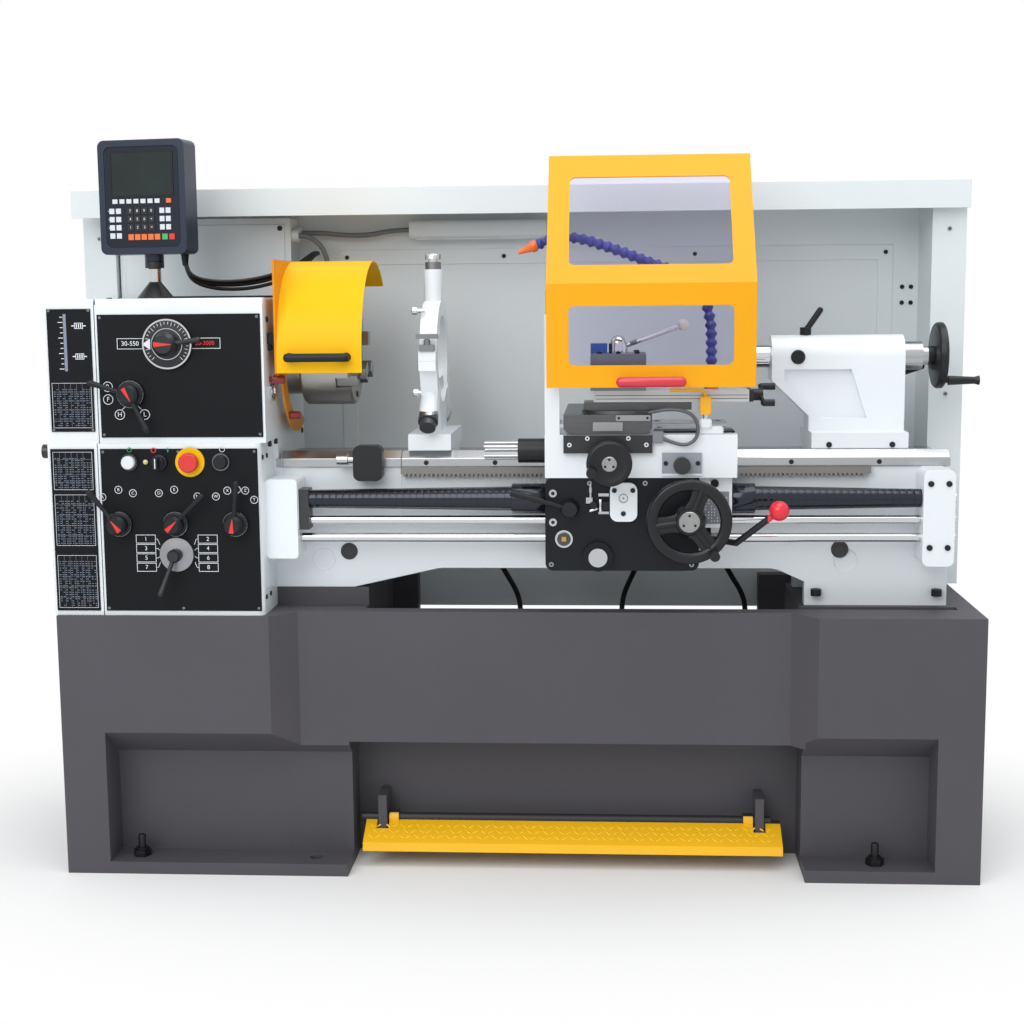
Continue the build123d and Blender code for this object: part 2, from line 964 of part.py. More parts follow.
with BuildPart() as front_plates:
    block(upper_left, upper_left + upper_width, upper_face, head_front, upper_low,
          upper_low + upper_plate_height)
    block(lower_left, lower_left + lower_width, lower_face, box_front, lower_low, lower_low + lower_height)
    block(end_cover_start + chart_margin, end_cover_right - chart_margin, upper_face, head_front,
          upper_low + upper_plate_lift, head_top - chart_margin - head_round)
    block(end_cover_start + chart_margin, end_cover_right - chart_margin, lower_face, box_front, lower_low,
          lower_low + lower_height)
    for x, z in (start_spot, jog_spot):
        rod_along_y(lower_face - collar_height, lower_face, x, z,
                    button_radius + button_gap + collar_height / 2)
        rod_along_y(lower_face - collar_height, lower_face, x, z, button_radius + button_gap / 2,
                    Mode.SUBTRACT)
    rod_along_y(lower_face - collar_height, lower_face, *stop_spot, stop_collar_radius)
    control_holes(upper_face, upper_shafts, ())
    control_holes(lower_face, lower_shafts, button_spots)
front_plates.part.label = "front_plates"
export_step(front_plates.part, "parts/front_plates.step")

# Knobs and levers of the headstock and the feed gearbox
def knob(spot_xz, face, base_radius, base_height, knob_radius, knob_height):
    x, z = spot_xz
    base_y = face - slide_gap
    turned_along_y(x, z, (
        (shaft_radius, face + shaft_depth),
        (shaft_radius, base_y),
        (base_radius, base_y),
        (base_radius, base_y - base_height * 3 / 4),
        (knob_radius, base_y - base_height),
        (knob_radius, base_y - base_height - knob_height * 3 / 4),
        (knob_radius * 3 / 4, base_y - base_height - knob_height),
    ))


def lever(spot_xz, y, angle, length, rise=0):
    x, z = spot_xz
    lean = radians(angle)
    tip = (x + length * cos(lean), y - rise, z + length * sin(lean))
    grip = (x + length / 2 * cos(lean), y - rise / 2, z + length / 2 * sin(lean))
    stick((x, y, z), tip, lever_radius)
    stick(grip, tip, lever_radius, lever_grip_radius)
    ball(tip, lever_grip_radius)


speed_grip_y = upper_face - speed_dial_height - speed_knob_height / 2
range_grip_y = upper_face - range_base_height - range_knob_height / 2
selector_grip_y = lower_face - selector_base_height - selector_knob_height / 2
gate_grip_y = lower_face - gate_disc_height - gate_hub_height / 2
with BuildPart() as speed_knob:
    knob(speed_spot, upper_face, speed_dial_radius, speed_dial_height, speed_knob_radius, speed_knob_height)
    lever(speed_spot, speed_grip_y, speed_handle_angle, speed_knob_radius + speed_handle_length,
          speed_handle_radius)
speed_knob.part.label = "speed_knob"
export_step(speed_knob.part, "parts/speed_knob.step")

with BuildPart() as range_lever:
    knob(range_spot, upper_face, range_base_radius, range_base_height, range_knob_radius, range_knob_height)
    for angle in range_lever_angles:
        lever(range_spot, range_grip_y, angle, range_knob_radius + range_lever_length, lever_radius)
range_lever.part.label = "range_lever"
export_step(range_lever.part, "parts/range_lever.step")


def feed_selector(spot_xz, angle):
    knob(spot_xz, lower_face, selector_base_radius, selector_base_height, selector_knob_radius,
         selector_knob_height)
    lever(spot_xz, selector_grip_y, angle, selector_knob_radius + selector_lever_length, lever_radius)


with BuildPart() as feed_selector_left:
    feed_selector(selector_spots[0], selector_angles[0])
feed_selector_left.part.label = "feed_selector_left"
export_step(feed_selector_left.part, "parts/feed_selector_left.step")

with BuildPart() as feed_selector_middle:
    feed_selector(selector_spots[1], selector_angles[1])
feed_selector_middle.part.label = "feed_selector_middle"
export_step(feed_selector_middle.part, "parts/feed_selector_middle.step")

with BuildPart() as feed_selector_right:
    feed_selector(selector_spots[2], selector_angles[2])
feed_selector_right.part.label = "feed_selector_right"
export_step(feed_selector_right.part, "parts/feed_selector_right.step")

with BuildPart() as gate_lever:
    knob(gate_spot, lower_face, gate_disc_radius, gate_disc_height, gate_hub_radius, gate_hub_height)
    lever(gate_spot, gate_grip_y, gate_lever_angle, gate_lever_length, gate_hub_height)
gate_lever.part.label = "gate_lever"
export_step(gate_lever.part, "parts/gate_lever.step")


def push_button(spot_xz, face, radius, height):
    x, z = spot_xz
    back = face - button_travel - button_gap
    turned_along_y(x, z, (
        (button_stem, face + shaft_depth - button_travel),
        (button_stem, back),
        (radius, back),
        (radius, back - height * 3 / 4),
        (radius * 7 / 8, back - height),
    ))


with BuildPart() as start_button:
    push_button(start_spot, lower_face, button_radius, button_height)
start_button.part.label = "start_button"
export_step(start_button.part, "parts/start_button.step")

with BuildPart() as jog_button:
    push_button(jog_spot, lower_face, button_radius, button_height)
jog_button.part.label = "jog_button"
export_step(jog_button.part, "parts/jog_button.step")

with BuildPart() as stop_button:
    push_button(stop_spot, lower_face - collar_height, stop_radius, stop_height)
stop_button.part.label = "stop_button"
export_step(stop_button.part, "parts/stop_button.step")

with BuildPart() as power_switch:
    knob(switch_spot, lower_face, switch_radius, switch_height / 2, switch_radius * 3 / 4, switch_height / 2)
    block(switch_spot[0] - lever_radius, switch_spot[0] + lever_radius, lower_face - 2 * switch_height,
          lower_face - switch_height + button_gap, switch_spot[1] - switch_radius * 3 / 4,
          switch_spot[1] + switch_radius * 3 / 4)
power_switch.part.label = "power_switch"
export_step(power_switch.part, "parts/power_switch.step")

# Spindle, and the three-jaw chuck on its nose
spindle_tail = end_cover_start - overrun
with BuildPart() as spindle:
    turned_along_x(spindle_y, spindle_z, (
        (spindle_tail, spindle_radius),
        (head_right + slide_gap, spindle_radius),
        (head_right + slide_gap, nose_radius),
        (chuck_start, nose_radius),
    ))
    rod_along_x(spindle_tail - overrun, chuck_start + overrun, spindle_y, spindle_z, spindle_bore,
                Mode.SUBTRACT)
spindle.part.label = "spindle"
export_step(spindle.part, "parts/spindle.step")

jaw_angles = (90, 210, 330)


def radial_plane(angle, x):
    turn = radians(angle)
    return Plane(origin=spot(x, spindle_y, spindle_z), x_dir=(0, cos(turn), sin(turn)),
                 z_dir=(0, sin(turn), -cos(turn)))


def outward_plane(angle, x, radius):
    turn = radians(angle)
    outward = Vector(0, cos(turn), sin(turn))
    return Plane(origin=spot(x, spindle_y, spindle_z) + outward * radius, x_dir=(1, 0, 0), z_dir=outward)


with BuildPart() as chuck_body:
    turned_along_x(spindle_y, spindle_z, (
        (chuck_start, chuck_radius - overrun),
        (chuck_start + overrun, chuck_radius),
        (chuck_face - overrun, chuck_radius),
        (chuck_face, chuck_radius - overrun),
    ))
    rod_along_x(chuck_start - overrun, chuck_face + overrun, spindle_y, spindle_z, chuck_bore, Mode.SUBTRACT)
    for angle in jaw_angles:
        with BuildSketch(radial_plane(angle, chuck_face)):
            with Locations((chuck_radius / 2 + overrun, (overrun - jaw_slot) / 2)):
                Rectangle(chuck_radius + overrun, jaw_slot + overrun)
        extrude(amount=jaw_width / 2, both=True, mode=Mode.SUBTRACT)
        with BuildSketch(outward_plane(angle + 60, chuck_start + chuck_length / 2, chuck_radius)):
            Rectangle(2 * key_socket, 2 * key_socket)
        extrude(amount=-key_depth, mode=Mode.SUBTRACT)
chuck_body.part.label = "chuck_body"
export_step(chuck_body.part, "parts/chuck_body.step")


def chuck_jaw(angle):
    with BuildSketch(radial_plane(angle, chuck_face)) as section:
        with BuildLine():
            Polyline(
                (jaw_inner, slide_gap - jaw_slot),
                (jaw_outer, slide_gap - jaw_slot),
                (jaw_outer, jaw_low_reach),
                (jaw_step, jaw_low_reach),
                (jaw_step, jaw_reach),
                (jaw_inner, jaw_reach),
                close=True,
            )
        make_face()
    extrude(section.sketch, amount=jaw_width / 2 - slide_gap, both=True)


with BuildPart() as chuck_jaw_top:
    chuck_jaw(jaw_angles[0])
chuck_jaw_top.part.label = "chuck_jaw_top"
export_step(chuck_jaw_top.part, "parts/chuck_jaw_top.step")

with BuildPart() as chuck_jaw_front:
    chuck_jaw(jaw_angles[1])
chuck_jaw_front.part.label = "chuck_jaw_front"
export_step(chuck_jaw_front.part, "parts/chuck_jaw_front.step")

with BuildPart() as chuck_jaw_rear:
    chuck_jaw(jaw_angles[2])
chuck_jaw_rear.part.label = "chuck_jaw_rear"
export_step(chuck_jaw_rear.part, "parts/chuck_jaw_rear.step")

# Chuck guard: a rolled shell on an end plate that swings on a pin in the headstock
guard_z = spindle_z + guard_centre_lift
guard_front_y = guard_centre_y - guard_radius
guard_pivot_z = spindle_z + guard_pivot_lift
guard_ear = 2 * guard_pin
shell_start = guard_start + guard_plate
back_turn = radians(guard_back_angle)
handle_y = guard_front_y - guard_handle_gap
handle_z = guard_z + guard_handle_lift
handle_start = (guard_start + guard_end - guard_handle_length) / 2
swing_reach = hypot(guard_pivot_y - spindle_y, guard_pivot_z - spindle_z)
swing_chord = 2 * swing_reach * sin(radians(guard_swing / 2))
swing_lean = degrees(atan2(spindle_z - guard_pivot_z, spindle_y - guard_pivot_y)) + 90 + guard_swing / 2
swing_middle_y = spindle_y + swing_chord / 2 * cos(radians(swing_lean))
swing_middle_z = spindle_z + swing_chord / 2 * sin(radians(swing_lean))
with BuildPart() as chuck_guard:
    with BuildSketch(side(shell_start)):
        with Locations((guard_centre_y, guard_z)):
            Circle(guard_radius)
            Circle(guard_radius - guard_sheet, mode=Mode.SUBTRACT)
            with Locations((0, -guard_radius)):
                Rectangle(3 * guard_radius, 2 * guard_radius, mode=Mode.SUBTRACT)
        with BuildLine():
            Polyline(
                (guard_centre_y, guard_z),
                (guard_centre_y + 2 * guard_radius * cos(back_turn),
                 guard_z + 2 * guard_radius * sin(back_turn)),
                (guard_centre_y + 2 * guard_radius, guard_z),
                close=True,
            )
        make_face(mode=Mode.SUBTRACT)
        with Locations((guard_front_y + guard_sheet / 2, guard_z - guard_skirt / 2)):
            Rectangle(guard_sheet, guard_skirt)
    extrude(amount=guard_end - shell_start)
    with BuildSketch(side(guard_start)):
        with Locations((spindle_y, spindle_z)):
            Circle(guard_ring)
        with BuildLine():
            Polyline(
                (guard_front_y, guard_z - guard_skirt),
                (guard_front_y, guard_z + guard_radius),
                (guard_pivot_y + guard_ear, guard_z + guard_radius),
                (guard_pivot_y + guard_ear, guard_pivot_z - guard_ear),
                (spindle_y, spindle_z - guard_ring / 2),
                close=True,
            )
        make_face()
        with Locations((spindle_y, spindle_z)):
            Circle(guard_hole, mode=Mode.SUBTRACT)
        with Locations((swing_middle_y, swing_middle_z)):
            SlotCenterToCenter(swing_chord, 2 * (nose_radius + guard_swing_gap), rotation=swing_lean,
                               mode=Mode.SUBTRACT)
    extrude(amount=guard_plate)
    rod_along_x(head_right - guard_pin_depth, guard_start, guard_pivot_y, guard_pivot_z, guard_pin)
    rod_along_x(head_right + slide_gap, guard_start, guard_pivot_y, guard_pivot_z, guard_ear)
    rod_along_x(handle_start, handle_start + guard_handle_length, handle_y, handle_z, guard_handle_radius)
    for x in (handle_start + guard_ear, handle_start + guard_handle_length - guard_ear):
        rod_along_y(handle_y, guard_front_y + guard_sheet / 2, x, handle_z, guard_handle_radius / 2)
chuck_guard.part.label = "chuck_guard"
export_step(chuck_guard.part, "parts/chuck_guard.step")

# Leadscrew, feed rod and control rod, and the bracket that carries their right ends
tail_end = tail_start + tail_width
rod_start = box_right - shaft_depth + overrun


def bed_rod(z, radius):
    rod_along_x(rod_start, tail_end + overrun, rod_y, z, radius)


with BuildPart() as leadscrew:
    bed_rod(screw_z, screw_radius)
leadscrew.part.label = "leadscrew"
export_step(leadscrew.part, "parts/leadscrew.step")

with BuildPart() as feed_rod:
    bed_rod(feed_z, feed_radius)
feed_rod.part.label = "feed_rod"
export_step(feed_rod.part, "parts/feed_rod.step")

with BuildPart() as control_rod:
    bed_rod(control_z, control_radius)
control_rod.part.label = "control_rod"
export_step(control_rod.part, "parts/control_rod.step")

with BuildPart() as tail_bracket:
    rounded_block(tail_start, tail_end, tail_front, bed_wall_front, control_z - tail_low, lip_z, head_round)
    for z, radius in zip(rod_zs, (screw_radius, feed_radius, control_radius)):
        rod_along_x(tail_start - overrun, tail_end + overrun, rod_y, z, radius + run_fit, Mode.SUBTRACT)
tail_bracket.part.label = "tail_bracket"
export_step(tail_bracket.part, "parts/tail_bracket.step")

# Electrical cabinet, backsplash with canopy and end columns, and the lamp under the canopy
lamp_gland_y = stand_depth - lamp_gland_inset
lamp_gland_z = canopy_bottom - lamp_gland_drop
drop_gland_y = stand_depth - drop_gland_inset
drop_gland_z = canopy_bottom - drop_gland_drop
gland_spots = ((lamp_gland_y, lamp_gland_z), (drop_gland_y, drop_gland_z))
with BuildPart() as electrical_cabinet:
    block(cabinet_left, cabinet_right, cabinet_front, stand_depth, cabinet_low, canopy_bottom)
    block(cabinet_left + head_round, cabinet_right - head_round, cabinet_front - cabinet_door, cabinet_front,
          cabinet_low + head_round, canopy_bottom - head_round)
    for y, z in gland_spots:
        rod_along_x(cabinet_right, cabinet_right + gland_length, y, z, gland_radius)
electrical_cabinet.part.label = "electrical_cabinet"
export_step(electrical_cabinet.part, "parts/electrical_cabinet.step")

splash_back = stand_depth + splash_sheet
canopy_left = splash_left - column_width
canopy_right = splash_right + column_width
with BuildPart() as backsplash:
    side_slab((
        (stand_depth, splash_bottom),
        (splash_back, splash_bottom),
        (splash_back, canopy_top),
        (canopy_front, canopy_top),
        (canopy_front, canopy_bottom),
        (canopy_front + splash_sheet, canopy_bottom),
        (canopy_front + splash_sheet, canopy_top - splash_sheet),
        (stand_depth, canopy_top - splash_sheet),
    ), canopy_left, canopy_right)
    for start, end, front_y in (
        (canopy_left, splash_left, left_column_front),
        (splash_right, canopy_right, column_front),
    ):
        block(start, end, front_y, stand_depth, stand_height, canopy_top - splash_sheet)
        block(start + splash_sheet, end - splash_sheet, front_y + splash_sheet, stand_depth,
              stand_height - overrun, canopy_top - splash_sheet, Mode.SUBTRACT)
    with BuildSketch(front(stand_depth)):
        with Locations(((frame_left + frame_right) / 2, (frame_low + frame_top) / 2)):
            Rectangle(frame_right - frame_left, frame_top - frame_low)
            Rectangle(frame_right - frame_left - 2 * frame_band, frame_top - frame_low - 2 * frame_band,
                      mode=Mode.SUBTRACT)
    extrude(amount=frame_proud)
backsplash.part.label = "backsplash"
export_step(backsplash.part, "parts/backsplash.step")

lamp_y = stand_depth - lamp_depth / 2
lamp_z = (lamp_low + lamp_high) / 2
with BuildPart() as work_lamp:
    with BuildSketch(side(lamp_left)) as section:
        with Locations((lamp_y, lamp_z)):
            Rectangle(lamp_depth, lamp_high - lamp_low)
        fillet(section.vertices().group_by(Axis.X)[0], radius=lamp_round)
    extrude(amount=lamp_right - lamp_left)
work_lamp.part.label = "work_lamp"
export_step(work_lamp.part, "parts/work_lamp.step")


# Cables and hoses follow straight runs joined by arcs as large as the runs allow
def bend_radii(points):
    radii = []
    for before, here, after in zip(points, points[1:], points[2:]):
        first = Vector(here) - Vector(before)
        second = Vector(after) - Vector(here)
        half_turn = radians(first.get_angle(second) / 2)
        radii.append(bend_share * min(first.length, second.length) / tan(half_turn))
    return radii


def tube(points, radius):
    radii = bend_radii(points)
    with BuildLine() as route:
        FilletPolyline(*[spot(*point) for point in points], radius=radii)
    with BuildSketch(route.line ^ 0) as section:
        Circle(radius)
    sweep(section.sketch, path=route.line)


gland_end = cabinet_right + gland_length
lamp_route = (
    (gland_end, lamp_gland_y, lamp_gland_z),
    (482, lamp_gland_y, lamp_gland_z),
    (532, lamp_gland_y + 2, lamp_gland_z - 6),
    (590, lamp_gland_y + 7, lamp_gland_z - 7),
    (645, lamp_y, lamp_z),
    (lamp_left, lamp_y, lamp_z),
)
drop_route = (
    (gland_end, drop_gland_y, drop_gland_z),
    (458, drop_gland_y, drop_gland_z),
    (480, drop_gland_y + 6, drop_gland_z - 15),
    (492, drop_gland_y + 18, drop_gland_z - 42),
    (497, drop_gland_y + 33, drop_gland_z - 70),
    (498, drop_gland_y + 50, drop_gland_z - 94),
    (498, stand_depth, drop_gland_z - 94),
)
tray_room = stand_depth - tray_rim - bed_wall_back
drain_steps = (
    (0, 0, 52), (0, 0.215, 52), (0.16, 0.415, 36), (0.47, 0.6, 2), (0.84, 0.72, -34), (1, 0.77, -68),
    (1, 0.77, -tray_depth),
)
drain_routes = [
    [(start + run * along, bed_wall_back + tray_room * back, stand_height + rise)
     for along, back, rise in drain_steps]
    for start, run in ((887, 49), (1213, -41), (1398, 60))
]
with BuildPart() as hoses:
    tube(lamp_route, conduit_radius)
    tube(drop_route, conduit_radius)
    for drain_route in drain_routes:
        tube(drain_route, drain_radius)
hoses.part.label = "hoses"
export_step(hoses.part, "parts/hoses.step")

# Digital readout on a stem that stands on the headstock
readout_low = head_top + readout_lift
neck_low = readout_low - neck_height
yaw = radians(-readout_yaw)
with BuildPart() as readout_stem:
    with BuildSketch(level(head_top)):
        with Locations((readout_x, readout_y)):
            Circle(stem_cone)
    with BuildSketch(level(head_top + stem_cone_height)):
        with Locations((readout_x, readout_y)):
            Circle(stem_radius)
    loft()
    rod_along_z(head_top + stem_cone_height, neck_low - slide_gap, readout_x, readout_y, stem_radius)
    rod_along_z(neck_low - neck_height, neck_low - slide_gap, readout_x, readout_y, stem_collar)
    rod_along_z(neck_low - slide_gap, neck_low + stem_pin_length, readout_x, readout_y, stem_pin)
readout_stem.part.label = "readout_stem"
export_step(readout_stem.part, "parts/readout_stem.step")

readout_back = Plane(
    origin=spot(readout_x, readout_y, 0) + Vector(sin(yaw), -cos(yaw),
                                                  0) * (readout_forward - readout_depth),
    x_dir=(cos(yaw), sin(yaw), 0),
    z_dir=(sin(yaw), -cos(yaw), 0),
)
with BuildPart() as readout:
    with BuildSketch(readout_back):
        with Locations((0, readout_low + readout_height / 2)):
            RectangleRounded(readout_width, readout_height, readout_round)
    extrude(amount=readout_depth)
    with BuildSketch(readout_back.offset(readout_depth)):
        with Locations((0, readout_low + readout_height / 2)):
            RectangleRounded(readout_width - 2 * bezel_margin, readout_height - 2 * bezel_margin,
                             readout_round)
    extrude(amount=-bezel_depth, mode=Mode.SUBTRACT)
    rod_along_z(neck_low, readout_low, readout_x, readout_y, stem_collar)
    rod_along_z(neck_low - overrun, neck_low + stem_pin_length + overrun, readout_x, readout_y,
                stem_pin + run_fit, Mode.SUBTRACT)
readout.part.label = "readout"
export_step(readout.part, "parts/readout.step")

cable_x = readout_x + readout_width / 2 - 2 * bezel_margin
cable_y = readout_y - bezel_margin
cable_room = stand_depth - cable_y
cable_steps = (
    (0, 0, 0), (0, 0, -30), (16, 0.044, -54), (54, 0.165, -64), (106, 0.33, -62), (156, 0.489, -48),
    (192, 0.643, -27), (210, 0.786, -4), (217, 0.912, 10), (217, 1, 10),
)
cable_route = [(cable_x + run, cable_y + cable_room * back, readout_low + rise) for run, back,
               rise in cable_steps]
with BuildPart() as readout_cable:
    tube(cable_route, cable_radius)
readout_cable.part.label = "readout_cable"
export_step(readout_cable.part, "parts/readout_cable.step")

# Saddle over the ways, with a vee groove, a notch at each side and the post of the tool guard
skirt_z = way_z - skirt_drop
saddle_low = way_z + slide_gap
notch_front = bed_front + front_way_width
apron_back = rod_y + seal_depth / 2 + apron_back_gap
cross_z = saddle_z + slide_gap
wiper_front = saddle_front - wiper_thickness
post_left = carriage_left + slide_gap
post_x = post_left + post_width / 2
fold_z = tool_guard_low + tool_guard_fold
knuckle_low = fold_z - knuckle_height
drum_z = way_z + drum_rise
cross_wheel_z = way_z + cross_wheel_lift
pump_left = carriage_left + pump_shares[0] * (carriage_right - carriage_left)
pump_right = carriage_left + pump_shares[1] * (carriage_right - carriage_left)
pump_x = (pump_left + pump_right) / 2
pump_z = (skirt_z + saddle_z) / 2 - pump_knob_radius
with BuildPart() as saddle:
    block(carriage_left, carriage_right, saddle_front, saddle_back, saddle_low, saddle_z)
    for start, end in ((carriage_left - overrun, cross_left - overrun), (cross_right + overrun,
                                                                         carriage_right + overrun)):
        block(start, end, notch_front, rear_way_front, saddle_low - overrun, saddle_z + overrun,
              Mode.SUBTRACT)
    block(carriage_left, carriage_right, saddle_front, apron_back, skirt_z, saddle_low)
    side_slab((
        (bed_front - slide_gap, way_z - overrun),
        (bed_front - slide_gap, way_z + slide_gap),
        (bed_front + vee_apex, vee_z + 2 * slide_gap),
        (bed_front + vee_width + slide_gap, way_z + slide_gap),
        (bed_front + vee_width + slide_gap, way_z - overrun),
    ), carriage_left - overrun, carriage_right + overrun, Mode.SUBTRACT)
    block(cross_left, cross_right, wiper_front, saddle_front, saddle_z - wiper_drop, saddle_z - slide_gap)
    block(pump_left, pump_right, saddle_front - pump_plate_proud, saddle_front, skirt_z + overrun,
          saddle_z - wiper_drop)
    rod_along_y(saddle_front - pump_plate_proud - pump_knob_height, saddle_front, pump_x, pump_z,
                pump_knob_radius)
    block(post_left, post_left + post_width, post_y - post_depth / 2, post_y + post_depth / 2, saddle_z,
          knuckle_low)
    rod_along_z(knuckle_low, fold_z, post_x, post_y, post_pin)
    rod_along_x(carriage_left - overrun, carriage_left + drum_pin_depth, drum_y, drum_z, drum_pin + run_fit,
                Mode.SUBTRACT)
    rod_along_y(wiper_front - overrun, saddle_front + shaft_depth + overrun, cross_wheel_x, cross_wheel_z,
                wheel_shaft + run_fit, Mode.SUBTRACT)
saddle.part.label = "saddle"
export_step(saddle.part, "parts/saddle.step")

# Apron under the saddle's front, bored for the three rods
apron_low = skirt_z - apron_height
apron_width = apron_right - carriage_left
wheel_z = way_z - apron_wheel_drop
half_nut_z = way_z - half_nut_drop


def apron_spot(shares):
    return carriage_left + shares[0] * apron_width, apron_low + shares[1] * apron_height


with BuildPart() as apron:
    rounded_block(carriage_left, apron_right, apron_front, apron_back, apron_low, skirt_z, apron_round)
    block(apron_right - apron_round, dial_block_right, dial_block_front, apron_back,
          skirt_z - dial_block_drop,
          skirt_z)
    rod_along_y(apron_front - sight_proud, apron_front, *apron_spot(sight_shares), sight_radius)
    rod_along_y(apron_front - feed_knob_height, apron_front, *apron_spot(feed_knob_shares), feed_knob_radius)
    rod_along_y(apron_front - feed_knob_height - feed_disc_height, apron_front,
                *apron_spot(feed_knob_shares),
                feed_disc_radius)
    cover_left, cover_low = apron_spot(cover_low_shares)
    cover_right, cover_high = apron_spot(cover_high_shares)
    rounded_block(cover_left, cover_right, apron_front - cover_proud, apron_front, cover_low, cover_high,
                  apron_round)
    for z, radius in zip(rod_zs, (screw_radius, feed_radius, control_radius)):
        rod_along_x(carriage_left - overrun, dial_block_right + overrun, rod_y, z, radius + rod_gap,
                    Mode.SUBTRACT)
    for x, z in ((apron_wheel_x, wheel_z), (half_nut_x, half_nut_z)):
        rod_along_y(apron_front - overrun, apron_front + shaft_depth + overrun, x, z, wheel_shaft + run_fit,
                    Mode.SUBTRACT)
apron.part.label = "apron"
export_step(apron.part, "parts/apron.step")


# Handwheels with three spokes and a turned grip
def wheel(x, z, face, radius, hub_radius, standoff, grip_angle):
    rim_y = face - standoff
    turned_along_y(x, z, (
        (wheel_shaft, face + shaft_depth),
        (wheel_shaft, face - slide_gap),
        (hub_radius, face - slide_gap),
        (hub_radius, rim_y + wheel_rim),
        (hub_radius * 3 / 4, rim_y - wheel_rim),
    ))
    rim(x, rim_y, z, radius, wheel_rim, (0, 1, 0))
    for angle in (grip_angle, grip_angle + spoke_step, grip_angle + 2 * spoke_step):
        turn = radians(angle)
        edge = radius - wheel_rim
        stick((x, rim_y, z), (x + edge * cos(turn), rim_y, z + edge * sin(turn)), wheel_spoke)
    turn = radians(grip_angle)
    grip_x = x + (radius - wheel_rim) * cos(turn)
    grip_z = z + (radius - wheel_rim) * sin(turn)
    turned_along_y(grip_x, grip_z, (
        (grip_radius / 2, rim_y),
        (grip_radius / 2, rim_y - wheel_rim - slide_gap),
        (grip_radius, rim_y - wheel_rim - grip_radius),
        (grip_radius * 3 / 4, rim_y - wheel_rim - grip_length / 2),
        (grip_radius, rim_y - wheel_rim - grip_length),
    ))


with BuildPart() as apron_handwheel:
    wheel(apron_wheel_x, wheel_z, apron_front, apron_wheel_radius, wheel_hub_radius, wheel_standoff,
          apron_grip_angle)
apron_handwheel.part.label = "apron_handwheel"
export_step(apron_handwheel.part, "parts/apron_handwheel.step")

with BuildPart() as cross_handwheel:
    wheel(cross_wheel_x, cross_wheel_z, wiper_front, cross_wheel_radius, cross_hub_radius, wheel_standoff,
          cross_grip_angle)
cross_handwheel.part.label = "cross_handwheel"
export_step(cross_handwheel.part, "parts/cross_handwheel.step")

half_nut_tip = Vector(half_nut_x - half_nut_arm, apron_front - half_nut_length, half_nut_z + half_nut_rise)
half_nut_root = Vector(half_nut_x, apron_front - half_nut_length / 2, half_nut_z)
with BuildPart() as half_nut_lever:
    turned_along_y(half_nut_x, half_nut_z, (
        (wheel_shaft, apron_front + shaft_depth),
        (wheel_shaft, apron_front - slide_gap),
        (half_nut_hub, apron_front - slide_gap),
        (half_nut_hub * 3 / 4, apron_front - half_nut_length),
    ))
    half_nut_middle = half_nut_root + (half_nut_tip - half_nut_root) * arm_share
    stick(tuple(half_nut_root), tuple(half_nut_tip), lever_radius)
    stick(tuple(half_nut_middle), tuple(half_nut_tip), lever_grip_radius)
half_nut_lever.part.label = "half_nut_lever"
export_step(half_nut_lever.part, "parts/half_nut_lever.step")

hub_start = apron_right + slide_gap
hub_x = hub_start + control_hub_width / 2
with BuildPart() as control_lever:
    rod_along_x(hub_start, hub_start + control_hub_width, rod_y, control_z, control_hub)
    bend = (hub_x + control_bend, rod_y - control_forward * 3 / 4, control_z)
    tip = (hub_x + control_reach, rod_y - control_forward, control_z + control_rise)
    stick((hub_x, rod_y - control_hub / 2, control_z), bend, lever_grip_radius)
    ball(bend, lever_grip_radius)
    stick(bend, tip, lever_grip_radius)
    ball(tip, control_ball_radius)
    rod_along_x(hub_start - overrun, hub_start + control_hub_width + overrun, rod_y, control_z,
                control_radius + run_fit, Mode.SUBTRACT)
control_lever.part.label = "control_lever"
export_step(control_lever.part, "parts/control_lever.step")

# Indexing stop drum on the saddle's left side and the micrometer stop clamped to the way
drum_end = carriage_left - slide_gap
with BuildPart() as stop_drum:
    rod_along_x(drum_end - drum_length, drum_end, drum_y, drum_z, drum_radius)
    rod_along_x(drum_end, carriage_left + drum_pin_depth - overrun, drum_y, drum_z, drum_pin)
    for rod in range(drum_rods):
        turn = radians(360 * rod / drum_rods)
        rod_along_x(drum_end - drum_length - drum_rod_length, drum_end - drum_length,
                    drum_y + drum_ring * cos(turn),
                    drum_z + drum_ring * sin(turn), drum_rod_radius)
stop_drum.part.label = "stop_drum"
export_step(stop_drum.part, "parts/stop_drum.step")

stop_back = bed_front - slide_gap
with BuildPart() as carriage_stop:
    rounded_block(stop_left, stop_left + stop_width, stop_back - stop_depth, stop_back, way_z - stop_low,
                  way_z + stop_high, head_round)
    turned_along_x(stop_back - stop_depth / 2, way_z, (
        (stop_left - thimble_length, thimble_radius),
        (stop_left - thimble_length / 3, thimble_radius),
        (stop_left - thimble_length / 3, thimble_radius * 3 / 4),
        (stop_left, thimble_radius * 3 / 4),
    ))
carriage_stop.part.label = "carriage_stop"
export_step(carriage_stop.part, "parts/carriage_stop.step")

# Telescopic covers over the leadscrew on both sides of the carriage
with BuildPart() as leadscrew_covers:
    turned_along_x(rod_y, screw_z, (
        (seal_end, cover_small),
        (carriage_left - cover_collar_length, cover_large),
        (carriage_left - cover_collar_length, cover_collar),
        (carriage_left, cover_collar),
    ))
    turned_along_x(rod_y, screw_z, (
        (dial_block_right, cover_collar),
        (dial_block_right + right_collar_length, cover_collar),
        (dial_block_right + right_collar_length, cover_large),
        (tail_start, cover_small),
    ))
    rod_along_x(seal_end - overrun, tail_start + overrun, rod_y, screw_z, cover_small - cover_wall,
                Mode.SUBTRACT)
leadscrew_covers.part.label = "leadscrew_covers"
export_step(leadscrew_covers.part, "parts/leadscrew_covers.step")

